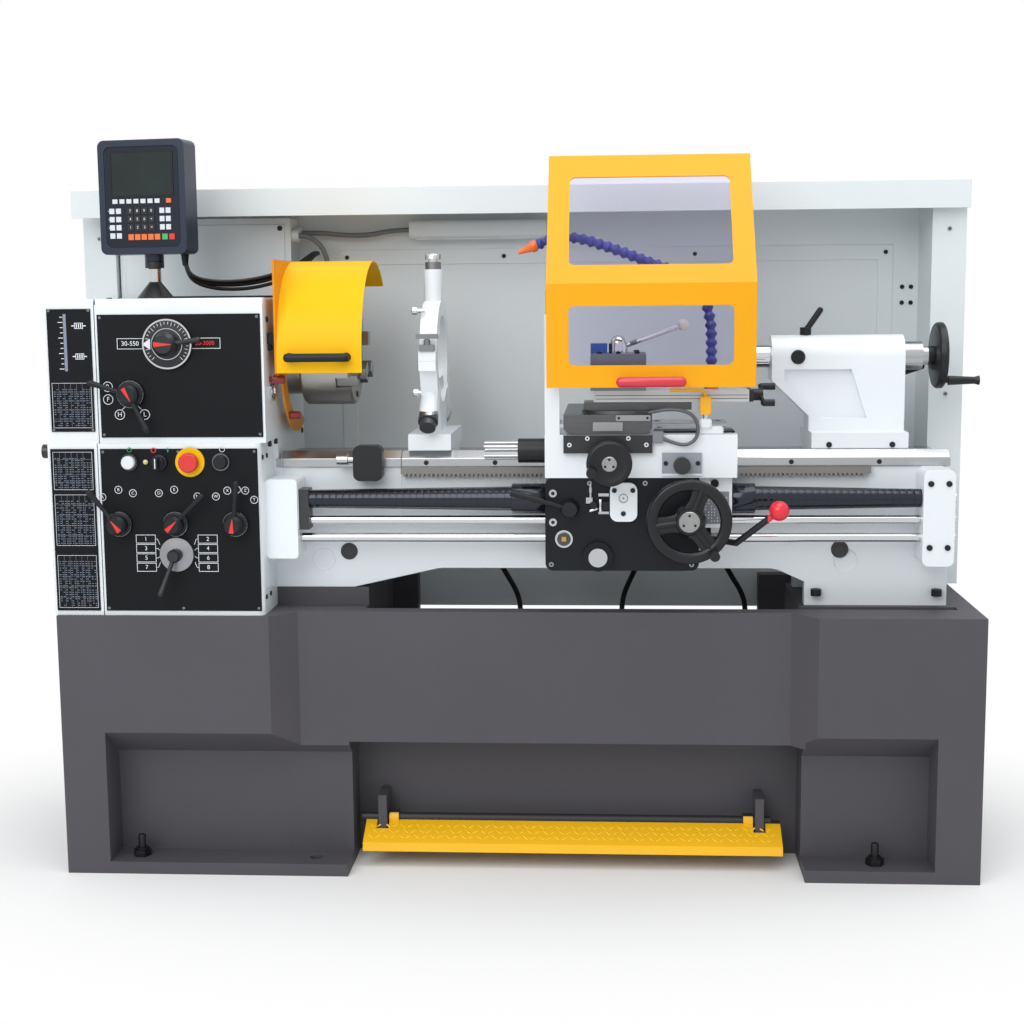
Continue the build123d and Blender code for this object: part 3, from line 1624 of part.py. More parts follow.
# Cross slide, compound slide, tool post and coolant hose
cross_top = cross_z + cross_thickness
swivel_top = cross_top + swivel_height
base_top = swivel_top + compound_base_height
compound_low = base_top + slide_gap
compound_top = compound_low + compound_height
compound_front = swivel_y - compound_width / 2
compound_back = swivel_y + compound_width / 2
with BuildPart() as cross_slide:
    front_slab((
        (cross_left + cross_bevel, cross_z),
        (cross_right - cross_bevel, cross_z),
        (cross_right, cross_z + cross_bevel),
        (cross_right, cross_top),
        (cross_left, cross_top),
        (cross_left, cross_z + cross_bevel),
    ), cross_front, cross_front + cross_length)
    rod_along_z(cross_top, swivel_top, swivel_x, swivel_y, swivel_radius)
    block(compound_base_left, compound_base_right, compound_front, compound_back, swivel_top, base_top)
cross_slide.part.label = "cross_slide"
export_step(cross_slide.part, "parts/cross_slide.step")

crank_z = (compound_low + compound_top) / 2
with BuildPart() as compound_slide:
    front_slab((
        (compound_left, compound_low),
        (compound_right, compound_low),
        (compound_right, compound_top),
        (compound_left, compound_top),
    ), compound_front, compound_back)
    block(compound_right, compound_right + compound_plate, compound_front, compound_back, compound_low,
          compound_top)
    rod_along_x(compound_right - shaft_depth - overrun, compound_right + compound_plate + overrun,
                swivel_y, crank_z,
                crank_shaft + run_fit, Mode.SUBTRACT)
compound_slide.part.label = "compound_slide"
export_step(compound_slide.part, "parts/compound_slide.step")

crank_start = compound_right + compound_plate + slide_gap
crank_x = crank_start + crank_hub_length
crank_turn = radians(crank_angle)
with BuildPart() as compound_handle:
    turned_along_x(swivel_y, crank_z, (
        (compound_right - shaft_depth, crank_shaft),
        (crank_start, crank_shaft),
        (crank_start, crank_radius),
        (crank_x, crank_radius),
    ))
    for reach, grip in ((crank_arm, crank_grip_length), (-crank_arm, crank_grip_length * 3 / 4)):
        arm_y = swivel_y + reach * cos(crank_turn)
        arm_z = crank_z + reach * sin(crank_turn)
        stick((crank_x - crank_grip_radius, swivel_y, crank_z), (crank_x, arm_y, arm_z), lever_radius)
        ball((crank_x, arm_y, arm_z), crank_grip_radius)
        rod_along_x(crank_x, crank_x + grip, arm_y, arm_z, crank_grip_radius)
compound_handle.part.label = "compound_handle"
export_step(compound_handle.part, "parts/compound_handle.step")

post_low = compound_top + slide_gap
post_high = post_low + post_block_height
slot_low = post_low + (post_block_height - post_slot) / 2
half_post = post_block / 2
with BuildPart() as tool_post:
    block(swivel_x - half_post, swivel_x + half_post, swivel_y - half_post, swivel_y + half_post, post_low,
          post_high)
    with BuildSketch(level(slot_low)):
        with Locations((swivel_x, swivel_y)):
            Rectangle(post_block + overrun, post_block + overrun)
            Rectangle(post_block - 2 * post_slot_depth, post_block - 2 * post_slot_depth, mode=Mode.SUBTRACT)
    extrude(amount=post_slot, mode=Mode.SUBTRACT)
    rod_along_z(post_high, post_high + nut_height, swivel_x, swivel_y, nut_radius)
    ball((swivel_x, swivel_y, post_high + nut_height), dome_radius)
    tool_tip = (swivel_x + tool_lever_reach, swivel_y, post_high + nut_height + tool_lever_rise)
    stick((swivel_x, swivel_y, post_high + nut_height / 2), tool_tip, tool_lever_radius)
    ball(tool_tip, tool_ball_radius)
    block(swivel_x - half_post, swivel_x - half_post + holder_width, swivel_y - holder_width / 2,
          swivel_y + holder_width / 2, post_high, post_high + holder_height)
tool_post.part.label = "tool_post"
export_step(tool_post.part, "parts/tool_post.step")

hose_start = (hose_x, hose_y, compound_top + hose_foot_height)
hose_points = (
    hose_start,
    (hose_x - 1, hose_y + 6, compound_top + 139),
    (hose_x - 19, hose_y + 16, compound_top + 203),
    (hose_x - 63, hose_y + 26, compound_top + 235),
    (hose_x - 126, hose_y + 30, compound_top + 257),
    (hose_x - 203, hose_y + 30, compound_top + 287),
    (hose_x - 278, hose_y + 30, compound_top + 311),
    (hose_x - 331, hose_y + 30, compound_top + 309),
    (hose_x - 362, hose_y + 30, compound_top + 293),
)
with BuildLine() as hose_line:
    Spline(*hose_points)
hose_steps = [hose_line.line @ (step / hose_count) for step in range(hose_count + 1)]
with BuildPart() as coolant_hose:
    rod_along_z(compound_top, compound_top + hose_foot_height + hose_small, hose_x, hose_y, hose_foot)
    for here, there in zip(hose_steps, hose_steps[1:]):
        reach = there + (there - here) * hose_lap_share
        stick(tuple(here), tuple(reach), hose_large, hose_small)
    last = hose_steps[-1]
    aim = (last - hose_steps[-2]).normalized()
    stick(tuple(last), tuple(last + aim * nozzle_length), hose_large, nozzle_small)
coolant_hose.part.label = "coolant_hose"
export_step(coolant_hose.part, "parts/coolant_hose.step")

# Tool guard: one sheet folded along its middle, with a window in each half
guard_right = tool_guard_left + tool_guard_width
guard_middle = tool_guard_left + tool_guard_width / 2
window_width = tool_guard_width - 2 * window_margin
guard_inner = tool_guard_front + tool_sheet
lean = atan2(tool_guard_slope_run, tool_guard_slope_rise)
slope_top_y = tool_guard_front + tool_guard_slope_run
slope_top_z = fold_z + tool_guard_slope_rise
slope = Plane(origin=spot(0, tool_guard_front, fold_z), x_dir=(1, 0, 0),
              z_dir=(0, -tool_guard_slope_rise, tool_guard_slope_run))
low_window_z = tool_guard_low + window_foot + window_height_low / 2
high_window = window_start_high + window_height_high / 2
bar_y = tool_guard_front - guard_bar_gap
bar_z = tool_guard_low + guard_bar_lift
bar_start = guard_middle - guard_bar_length / 2
with BuildPart() as tool_guard:
    side_slab((
        (tool_guard_front, tool_guard_low),
        (tool_guard_front, fold_z),
        (slope_top_y, slope_top_z),
        (slope_top_y + tool_sheet * cos(lean), slope_top_z - tool_sheet * sin(lean)),
        (guard_inner, fold_z - tool_sheet * tan(lean / 2)),
        (guard_inner, tool_guard_low),
    ), tool_guard_left, guard_right)
    with BuildSketch(front(guard_inner + overrun)):
        with Locations((guard_middle, low_window_z)):
            RectangleRounded(window_width, window_height_low, window_round)
    extrude(amount=2 * overrun + tool_sheet, mode=Mode.SUBTRACT)
    with BuildSketch(slope):
        with Locations((guard_middle, high_window)):
            RectangleRounded(window_width, window_height_high, window_round)
    extrude(amount=overrun, both=True, mode=Mode.SUBTRACT)
    block(post_x - knuckle_radius / 2, post_x + knuckle_radius / 2, guard_inner, post_y,
          knuckle_low + slide_gap,
          fold_z - knuckle_radius)
    rod_along_z(knuckle_low + slide_gap, fold_z - knuckle_radius, post_x, post_y, knuckle_radius)
    rod_along_z(knuckle_low - overrun, fold_z + overrun, post_x, post_y, post_pin + run_fit, Mode.SUBTRACT)
    rod_along_x(bar_start, bar_start + guard_bar_length, bar_y, bar_z, guard_bar_radius)
    for x in (bar_start + guard_bar_radius, bar_start + guard_bar_length - guard_bar_radius):
        rod_along_y(bar_y, guard_inner, x, bar_z, guard_bar_radius / 2)
tool_guard.part.label = "tool_guard"
export_step(tool_guard.part, "parts/tool_guard.step")

with BuildPart() as guard_windows:
    with BuildSketch(front(guard_inner)):
        with Locations((guard_middle, low_window_z)):
            RectangleRounded(window_width + window_lap, window_height_low + window_lap, window_round)
    extrude(amount=-window_sheet)
    with BuildSketch(slope.offset(-tool_sheet)):
        with Locations((guard_middle, high_window)):
            RectangleRounded(window_width + window_lap, window_height_high + window_lap, window_round)
    extrude(amount=-window_sheet)
guard_windows.part.label = "guard_windows"
export_step(guard_windows.part, "parts/guard_windows.step")

# Steady rest: a split ring on a base, with three bosses that hold its fingers
ring_start = steady_base_left + (steady_base_width - steady_width) / 2
ring_end = ring_start + steady_width
steady_low = vee_z + slide_gap
steady_top_z = steady_low + steady_base_height
key_front = bed_front + vee_width + pad_margin
key_back = bed_front + bed_width - vee_width - pad_margin
base_front = bed_front + wall_setback
base_back = bed_front + bed_width - wall_setback
hinge_y = spindle_y + steady_outer + hinge_lug
lug_y = spindle_y - steady_outer - lug_block / 2
split_gap = slide_gap / 2


def carriage_base(x0, x1, y0, y1, top):
    side_slab((
        (key_front, way_z + slide_gap),
        (key_back, way_z + slide_gap),
        (key_back, steady_low),
        (y1, steady_low),
        (y1, top),
        (y0, top),
        (y0, steady_low),
        (key_front, steady_low),
    ), x0, x1)


def finger(angle):
    mid = (ring_start + ring_end) / 2
    with BuildSketch(outward_plane(angle, mid, steady_inner + split_gap)) as boss:
        Circle(finger_boss)
    extrude(boss.sketch, amount=finger_boss_length + steady_outer - steady_inner)
    with BuildSketch(outward_plane(angle, mid, steady_inner - finger_reach)) as rod:
        Circle(finger_radius)
    extrude(rod.sketch, amount=finger_reach + steady_outer - steady_inner)
    with BuildSketch(outward_plane(angle, mid, steady_outer + finger_boss_length)) as cap:
        Circle(finger_cap)
    extrude(cap.sketch, amount=finger_cap_length)


with BuildPart() as steady_base:
    carriage_base(steady_base_left, steady_base_left + steady_base_width, base_front, base_back,
                  steady_top_z)
    block(ring_start, ring_end, spindle_y - steady_neck, spindle_y + steady_neck, steady_top_z,
          spindle_z - steady_inner)
    with BuildSketch(side(ring_start)):
        with Locations((spindle_y, spindle_z)):
            Circle(steady_outer)
            Circle(steady_inner, mode=Mode.SUBTRACT)
    extrude(amount=steady_width)
    for angle in finger_angles[1:]:
        finger(angle)
    block(ring_start, ring_end, lug_y, spindle_y - steady_inner, spindle_z - lug_thickness, spindle_z)
    block(ring_start - overrun, ring_end + overrun, spindle_y - 2 * steady_outer,
          spindle_y + 2 * steady_outer,
          spindle_z - split_gap, spindle_z + 2 * steady_outer, Mode.SUBTRACT)
    ring_middle = (ring_start + ring_end) / 2
    block(ring_start, ring_middle - split_gap, spindle_y + steady_inner + wall_setback, hinge_y,
          spindle_z - hinge_lug,
          spindle_z - split_gap)
    rod_along_x(ring_start, ring_middle - split_gap, hinge_y, spindle_z, hinge_lug)
    rod_along_x(ring_start, ring_end, hinge_y, spindle_z, hinge_pin)
steady_base.part.label = "steady_base"
export_step(steady_base.part, "parts/steady_base.step")

with BuildPart() as steady_top:
    with BuildSketch(side(ring_start)):
        with Locations((spindle_y, spindle_z)):
            Circle(steady_outer)
            Circle(steady_inner, mode=Mode.SUBTRACT)
    extrude(amount=steady_width)
    finger(finger_angles[0])
    block(ring_start, ring_end, lug_y, spindle_y - steady_inner, spindle_z, spindle_z + lug_thickness)
    block(ring_start - overrun, ring_end + overrun, spindle_y - 2 * steady_outer,
          spindle_y + 2 * steady_outer,
          spindle_z - 2 * steady_outer, spindle_z + split_gap, Mode.SUBTRACT)
    rod_along_x(ring_start - overrun, ring_middle + split_gap, hinge_y, spindle_z, hinge_lug + slide_gap,
                Mode.SUBTRACT)
    block(ring_middle + split_gap, ring_end, spindle_y + steady_inner + wall_setback, hinge_y,
          spindle_z + split_gap,
          spindle_z + hinge_lug)
    rod_along_x(ring_middle + split_gap, ring_end, hinge_y, spindle_z, hinge_lug)
    rod_along_x(ring_start - overrun, ring_end + overrun, hinge_y, spindle_z, hinge_pin + run_fit,
                Mode.SUBTRACT)
steady_top.part.label = "steady_top"
export_step(steady_top.part, "parts/steady_top.step")

# Tailstock on its base, with quill, handwheel, quill lock and bed clamp
tail_base_top = way_z + tail_base_height
tail_front_y = spindle_y - barrel_radius
tail_back_y = spindle_y + barrel_radius
slant_z = spindle_z - tail_slant_drop
pocket_z = spindle_z - pocket_inset
lock_z = spindle_z + barrel_radius
clamp_z = spindle_z - clamp_drop
bore_end = tail_right - pocket_depth
with BuildPart() as tailstock_body:
    carriage_base(tail_base_left, tail_base_right, tail_base_front, tail_base_back, tail_base_top)
    front_slab((
        (tail_left, spindle_z),
        (tail_left, spindle_z - tail_nose_drop),
        (tail_base_left, slant_z),
        (tail_base_left, tail_base_top),
        (tail_base_right, tail_base_top),
        (tail_right, spindle_z),
    ), tail_front_y, tail_back_y)
    rod_along_x(tail_left, tail_right, spindle_y, spindle_z, barrel_radius)
    front_slab((
        (tail_left + pocket_inset, pocket_z),
        (tail_base_right - pocket_margin - pocket_rib_run, pocket_z),
        (tail_base_right - pocket_margin, tail_base_top + pocket_inset),
        (tail_base_left + pocket_inset, tail_base_top + pocket_inset),
        (tail_left + pocket_inset, spindle_z - tail_nose_drop),
    ), tail_front_y - overrun, tail_front_y + pocket_depth, Mode.SUBTRACT)
    rod_along_x(tail_left - overrun, bore_end, spindle_y, spindle_z, quill_radius + run_fit, Mode.SUBTRACT)
    rod_along_x(bore_end - overrun, tail_right + overrun, spindle_y, spindle_z, tail_screw + run_fit,
                Mode.SUBTRACT)
    rod_along_z(lock_z - lock_depth - overrun, lock_z + overrun, lock_x, spindle_y, shaft_radius + run_fit,
                Mode.SUBTRACT)
    rod_along_y(tail_back_y - shaft_depth - overrun, tail_back_y + overrun, clamp_x, clamp_z,
                shaft_radius + run_fit,
                Mode.SUBTRACT)
tailstock_body.part.label = "tailstock_body"
export_step(tailstock_body.part, "parts/tailstock_body.step")

with BuildPart() as quill:
    turned_along_x(spindle_y, spindle_z, (
        (quill_start, quill_radius - quill_chamfer),
        (quill_start + quill_chamfer, quill_radius),
        (quill_start + quill_length, quill_radius),
    ))
    turned_along_x(spindle_y, spindle_z, (
        (quill_start - overrun, quill_socket),
        (quill_start + quill_socket_depth, quill_socket * 3 / 4),
    ), Mode.SUBTRACT)
quill.part.label = "quill"
export_step(quill.part, "parts/quill.step")

collar_start = tail_right + slide_gap
collar_end = collar_start + rear_collar_length
with BuildPart() as tailstock_handwheel:
    turned_along_x(spindle_y, spindle_z, (
        (bore_end - shaft_depth, tail_screw),
        (collar_start, tail_screw),
        (collar_start, rear_collar_radius),
        (collar_end, rear_collar_radius),
        (collar_end, rear_collar_radius * 2 / 3),
        (tail_wheel_x + wheel_rim, rear_collar_radius * 2 / 3),
    ))
    rim(tail_wheel_x, spindle_y, spindle_z, tail_wheel_radius, wheel_rim, (1, 0, 0))
    for angle in (tail_grip_angle, tail_grip_angle + 120, tail_grip_angle + 240):
        turn = radians(angle)
        edge = tail_wheel_radius - wheel_rim
        stick((tail_wheel_x, spindle_y, spindle_z),
              (tail_wheel_x, spindle_y + edge * cos(turn), spindle_z + edge * sin(turn)), wheel_spoke)
    turn = radians(tail_grip_angle)
    turned_along_x(spindle_y + (tail_wheel_radius - wheel_rim) * cos(turn),
                   spindle_z + (tail_wheel_radius - wheel_rim) * sin(turn), (
        (tail_wheel_x, grip_radius / 2),
        (tail_wheel_x + 2 * wheel_rim, grip_radius / 2),
        (tail_wheel_x + 2 * wheel_rim, grip_radius),
        (tail_wheel_x + tail_grip_length, grip_radius * 3 / 4),
        (tail_wheel_x + tail_grip_length + grip_radius, grip_radius),
    ))
tailstock_handwheel.part.label = "tailstock_handwheel"
export_step(tailstock_handwheel.part, "parts/tailstock_handwheel.step")

with BuildPart() as quill_lock:
    rod_along_z(lock_z - lock_depth, lock_z + slide_gap, lock_x, spindle_y, shaft_radius)
    rod_along_z(lock_z + slide_gap, lock_z + lock_hub_height, lock_x, spindle_y, lock_hub)
    lock_tip = (lock_x + lock_reach, spindle_y, lock_z + lock_rise)
    stick((lock_x, spindle_y, lock_z + lock_hub_height / 2), lock_tip, lever_grip_radius)
    ball(lock_tip, lever_grip_radius)
quill_lock.part.label = "quill_lock"
export_step(quill_lock.part, "parts/quill_lock.step")

with BuildPart() as tailstock_clamp:
    rod_along_y(tail_back_y - shaft_depth, tail_back_y + slide_gap, clamp_x, clamp_z, shaft_radius)
    rod_along_y(tail_back_y + slide_gap, tail_back_y + clamp_hub_length, clamp_x, clamp_z, clamp_hub)
    clamp_tip = (clamp_x + clamp_reach, tail_back_y + clamp_hub_length, clamp_z + clamp_rise)
    stick((clamp_x, tail_back_y + clamp_hub_length / 2, clamp_z), clamp_tip, lever_grip_radius)
    ball(clamp_tip, lever_grip_radius)
tailstock_clamp.part.label = "tailstock_clamp"
export_step(tailstock_clamp.part, "parts/tailstock_clamp.step")

# Brake treadle: a folded plate on a rod between two lugs of the stand
tread_y = treadle_y - treadle_run
tread_z = treadle_z - treadle_fall
with BuildPart() as brake_treadle:
    side_slab((
        (treadle_y, treadle_z - treadle_sheet / 2),
        (treadle_y, treadle_z + treadle_sheet / 2),
        (tread_y, tread_z + treadle_sheet / 2),
        (tread_y - treadle_sheet, tread_z - treadle_lip),
        (tread_y, tread_z - treadle_lip),
        (tread_y + treadle_sheet, tread_z - treadle_sheet / 2),
    ), treadle_left, treadle_right)
    for x in (lug_left_x, lug_right_x):
        block(x - treadle_sheet, x + lug_width + treadle_sheet, treadle_y - lug_inset * 2 / 3,
              treadle_y + overrun,
              tread_z, treadle_z + treadle_collar, Mode.SUBTRACT)
    rod_along_x(treadle_left - treadle_rod, treadle_right - treadle_collar_width, treadle_y, treadle_z,
                treadle_rod)
    for x in (lug_left_x + lug_width + treadle_sheet, lug_right_x - treadle_collar_width - treadle_sheet):
        rod_along_x(x, x + treadle_collar_width, treadle_y, treadle_z, treadle_collar)
brake_treadle.part.label = "brake_treadle"
export_step(brake_treadle.part, "parts/brake_treadle.step")
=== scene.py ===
from math import cos, pi, radians, sin

import bmesh
import bpy
from mathutils import Matrix, Vector


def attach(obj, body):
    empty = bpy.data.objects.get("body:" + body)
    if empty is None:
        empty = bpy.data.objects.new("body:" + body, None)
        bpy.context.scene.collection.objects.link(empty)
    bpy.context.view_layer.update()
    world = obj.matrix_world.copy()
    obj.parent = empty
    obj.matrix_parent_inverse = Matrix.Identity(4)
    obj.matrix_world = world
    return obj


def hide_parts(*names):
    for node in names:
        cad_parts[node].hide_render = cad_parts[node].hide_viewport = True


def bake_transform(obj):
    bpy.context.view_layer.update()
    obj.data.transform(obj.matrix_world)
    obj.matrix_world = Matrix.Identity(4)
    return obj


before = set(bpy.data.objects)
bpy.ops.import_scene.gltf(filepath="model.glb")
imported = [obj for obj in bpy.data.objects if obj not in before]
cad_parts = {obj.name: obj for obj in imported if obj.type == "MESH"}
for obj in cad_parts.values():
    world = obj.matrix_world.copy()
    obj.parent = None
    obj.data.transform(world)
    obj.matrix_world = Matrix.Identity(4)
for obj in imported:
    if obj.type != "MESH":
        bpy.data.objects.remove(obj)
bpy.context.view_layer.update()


# The lathe stands on a pale shop floor in soft, even daylight from above and from the front.
# The camera stands before the carriage at chest height and looks a little down and to the left.
# Places are in millimetres from the stand's left end, its front edge and the floor.
half_length, half_depth = 950, 275


def at(x, y, z):
    return Vector(((x - half_length) / 1000, (y - half_depth) / 1000, z / 1000))


def put(name, data):
    made = bpy.data.objects.new(name, data)
    bpy.context.collection.objects.link(made)
    return made


def feed(node, inputs):
    for place, value in inputs.items():
        if isinstance(value, bpy.types.Node):
            value = value.outputs[0]
        if isinstance(value, bpy.types.NodeSocket):
            node.id_data.links.new(value, node.inputs[place])
        else:
            node.inputs[place].default_value = value


def add(tree, kind, inputs=None, **settings):
    node = tree.nodes.new(kind)
    for setting, value in settings.items():
        setattr(node, setting, value)
    feed(node, inputs or {})
    return node


def maths(tree, operation, *values, kind="Math"):
    return add(tree, "ShaderNode" + kind, dict(enumerate(values)), operation=operation)


def new_material(name):
    material = bpy.data.materials.new(name)
    material.use_nodes = True
    return material, material.node_tree, material.node_tree.nodes["Principled BSDF"]


floor_mesh = bpy.data.meshes.new("shop_floor")
floor_mesh.from_pydata([(-12, -8, 0), (12, -8, 0), (12, 12, 0), (-12, 12, 0)], [], [(0, 1, 2, 3)])
shop_floor = put("shop_floor", floor_mesh)
pale_floor, floor_tree, floor_shader = new_material("pale_floor")
floor_ramp = add(floor_tree, "ShaderNodeValToRGB", {"Fac": add(floor_tree, "ShaderNodeTexNoise", {"Scale": 3})})
floor_ramp.color_ramp.elements[0].color = (0.90, 0.90, 0.90, 1)
floor_ramp.color_ramp.elements[1].color = (0.96, 0.96, 0.96, 1)
feed(floor_shader, {"Base Color": floor_ramp, "Roughness": 0.75})
floor_place = add(floor_tree, "ShaderNodeTexCoord").outputs["Object"]
floor_oval = maths(floor_tree, "MULTIPLY", floor_place, (0.55, 1, 0), kind="VectorMath")
floor_reach = maths(floor_tree, "LENGTH", floor_oval, kind="VectorMath").outputs["Value"]
floor_fade = add(floor_tree, "ShaderNodeMapRange", {"Value": floor_reach, "From Min": 0.35, "From Max": 1.05},
                 interpolation_type="SMOOTHSTEP")
floor_rays = add(floor_tree, "ShaderNodeLightPath")
floor_glow = add(floor_tree, "ShaderNodeEmission", {"Color": (1, 1, 1, 1)})
floor_mix = add(floor_tree, "ShaderNodeMixShader", {
    0: maths(floor_tree, "MULTIPLY", floor_fade, floor_rays.outputs["Is Camera Ray"]), 1: floor_shader, 2: floor_glow})
feed(floor_tree.nodes["Material Output"], {"Surface": floor_mix})
floor_mesh.materials.append(pale_floor)

sky = bpy.data.worlds.new("soft_daylight")
bpy.context.scene.world = sky
sky.use_nodes = True
sky_tree = sky.node_tree
sky_light = sky_tree.nodes["Background"]
feed(sky_light, {"Color": (0.95, 0.98, 1, 1), "Strength": 0.58})
sky_seen = add(sky_tree, "ShaderNodeBackground", {"Color": (1, 1, 1, 1)})
sky_rays = add(sky_tree, "ShaderNodeLightPath").outputs
sky_clear = maths(sky_tree, "MAXIMUM", sky_rays["Is Camera Ray"], sky_rays["Is Transmission Ray"])
sky_bright = maths(sky_tree, "MAXIMUM", sky_clear, sky_rays["Is Glossy Ray"])
sky_mix = add(sky_tree, "ShaderNodeMixShader", {0: sky_bright, 1: sky_light, 2: sky_seen})
feed(sky_tree.nodes["World Output"], {"Surface": sky_mix})

lamp_aim = Vector((0, 0, 0.8))
for lamp_name, lamp_place, lamp_size, lamp_power in (
    ("front_daylight", Vector((-1.6, -4.2, 3.6)), 3.4, 120),
    ("high_daylight", Vector((0.8, -0.8, 4.4)), 3.0, 70),
):
    lamp_data = bpy.data.lights.new(lamp_name, "AREA")
    lamp_data.size = lamp_size
    lamp_data.energy = lamp_power
    lamp = put(lamp_name, lamp_data)
    lamp.location = lamp_place
    lamp.rotation_euler = (lamp_aim - lamp_place).to_track_quat("-Z", "Y").to_euler()

camera_data = bpy.data.cameras.new("shop_camera")
camera_data.sensor_width = 36
camera_data.lens = 55.70
camera_data.clip_end = 60
shop_camera = put("shop_camera", camera_data)
camera_yaw, camera_pitch, camera_roll = 0.063, 0.1339, -0.009
ahead = Vector((-sin(camera_yaw) * cos(camera_pitch), cos(camera_yaw) * cos(camera_pitch), -sin(camera_pitch)))
level_right = Vector((cos(camera_yaw), sin(camera_yaw), 0))
level_up = level_right.cross(ahead)
camera_right = level_right * cos(camera_roll) + level_up * sin(camera_roll)
camera_up = level_up * cos(camera_roll) - level_right * sin(camera_roll)
camera_turn = Matrix((camera_right, camera_up, -ahead)).transposed().to_4x4()
shop_camera.matrix_world = Matrix.Translation(at(1147.4, -3159.6, 1197.1)) @ camera_turn
bpy.context.scene.camera = shop_camera
bpy.context.scene.view_settings.view_transform = "Standard"


# The stand is a welded and cast base with two pedestals, a sunk chip tray and a toe space.
# It is sprayed in a coarse grey hammer finish that shows a fine grain.
# Four levelling screws with hexagon nuts carry it on the floor.
def new_group(name, kind, inputs, outputs):
    tree = bpy.data.node_groups.new(name, kind)
    for way, sockets in (("INPUT", inputs), ("OUTPUT", outputs)):
        for label, shape, *value in sockets:
            made = tree.interface.new_socket(name=label, in_out=way, socket_type="NodeSocket" + shape)
            if value:
                made.default_value = value[0]
    return tree, tree.nodes.new("NodeGroupInput").outputs, tree.nodes.new("NodeGroupOutput")


grain, grain_in, grain_out = new_group("surface_grain", "ShaderNodeTree", (
    ("Colour", "Color", (0.5, 0.5, 0.5, 1)), ("Roughness", "Float", 0.5), ("Stretch", "Vector", (400, 400, 400)),
    ("Spread", "Float", 0.1),
), (("Colour", "Color"), ("Roughness", "Float"), ("Height", "Float")))
grain_place = add(grain, "ShaderNodeTexCoord").outputs["Object"]
grain_scale = maths(grain, "MULTIPLY", grain_place, grain_in["Stretch"], kind="VectorMath")
grain_fine = add(grain, "ShaderNodeTexNoise", {"Vector": grain_scale, "Scale": 1, "Detail": 3})
grain_broad = add(grain, "ShaderNodeTexNoise", {"Vector": grain_place, "Scale": 3.5, "Detail": 4})
grain_value = add(grain, "ShaderNodeMapRange", {
    "Value": maths(grain, "ADD", grain_fine, grain_broad), "From Min": 0.6, "From Max": 1.4,
    "To Min": maths(grain, "SUBTRACT", 1, grain_in["Spread"]), "To Max": maths(grain, "ADD", 1, grain_in["Spread"])})
grain_tint = add(grain, "ShaderNodeVectorMath", {0: grain_in["Colour"], "Scale": grain_value}, operation="SCALE")
grain_gloss = maths(grain, "MULTIPLY", grain_in["Roughness"], grain_value)
feed(grain_out, {"Colour": grain_tint, "Roughness": grain_gloss, "Height": grain_fine})

inside, inside_in, inside_out = new_group("inside_box", "ShaderNodeTree", (
    ("Low", "Vector"), ("High", "Vector")), (("Mask", "Float"),))
inside_place = add(inside, "ShaderNodeTexCoord").outputs["Object"]
inside_mask = 1
for upper, lower in ((inside_place, inside_in["Low"]), (inside_in["High"], inside_place)):
    inside_gap = add(inside, "ShaderNodeSeparateXYZ", {
        0: maths(inside, "SUBTRACT", upper, lower, kind="VectorMath")})
    for axis in "XYZ":
        inside_test = maths(inside, "GREATER_THAN", inside_gap.outputs[axis], 0)
        inside_mask = maths(inside, "MULTIPLY", inside_mask, inside_test)
feed(inside_out, {"Mask": inside_mask})


def tone(red, green, blue):
    steps = [value / 255 for value in (red, green, blue)]
    return tuple(s / 12.92 if s < 0.04045 else ((s + 0.055) / 1.055) ** 2.4 for s in steps) + (1,)


def finish(name, colour, roughness, metallic=0.0, stretch=(400, 400, 400), spread=0.06, bump=0.05, zones=(),
           coat=0.0, shine=0.5):
    material, tree, shader = new_material(name)

    def surface(colour, roughness, stretch):
        return add(tree, "ShaderNodeGroup", {
            "Colour": tone(*colour), "Roughness": roughness, "Stretch": stretch, "Spread": spread}, node_tree=grain)

    base = surface(colour, roughness, stretch)
    tint, gloss, metal = base.outputs["Colour"], base.outputs["Roughness"], metallic
    for low, high, zone_colour, zone_roughness, zone_metallic in zones:
        mask = add(tree, "ShaderNodeGroup", {"Low": at(*low), "High": at(*high)}, node_tree=inside)
        patch = surface(zone_colour, zone_roughness, (900, 900, 900)).outputs
        tint_mix = add(tree, "ShaderNodeMix", {"Factor": mask, 6: tint, 7: patch["Colour"]}, data_type="RGBA")
        tint = tint_mix.outputs[2]
        gloss = add(tree, "ShaderNodeMix", {"Factor": mask, 2: gloss, 3: patch["Roughness"]})
        metal = add(tree, "ShaderNodeMix", {"Factor": mask, 2: metal, 3: zone_metallic})
    dent = add(tree, "ShaderNodeBump", {"Strength": bump, "Distance": 0.001, "Height": base.outputs["Height"]})
    feed(shader, {"Metallic": metallic, "Coat Weight": coat, "Coat Roughness": 0.12, "Specular IOR Level": shine})
    feed(shader, {"Base Color": tint, "Roughness": gloss, "Metallic": metal, "Normal": dent})
    return material


def dress(node, material, edge=0.0):
    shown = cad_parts[node]
    shown.data.materials.clear()
    shown.data.materials.append(material)
    if not edge:
        return
    for label, kind, settings in (
        ("weld", "WELD", {"merge_threshold": 0.00002}),
        ("whole_flats", "DECIMATE", {"decimate_type": "DISSOLVE", "angle_limit": radians(0.2)}),
        ("soft_edges", "BEVEL", {"width": edge / 1000, "segments": 2, "limit_method": "ANGLE",
                                 "angle_limit": radians(35)}),
        ("even_light", "WEIGHTED_NORMAL", {"weight": 50}),
    ):
        modifier = shown.modifiers.new(label, kind)
        for setting, value in settings.items():
            setattr(modifier, setting, value)


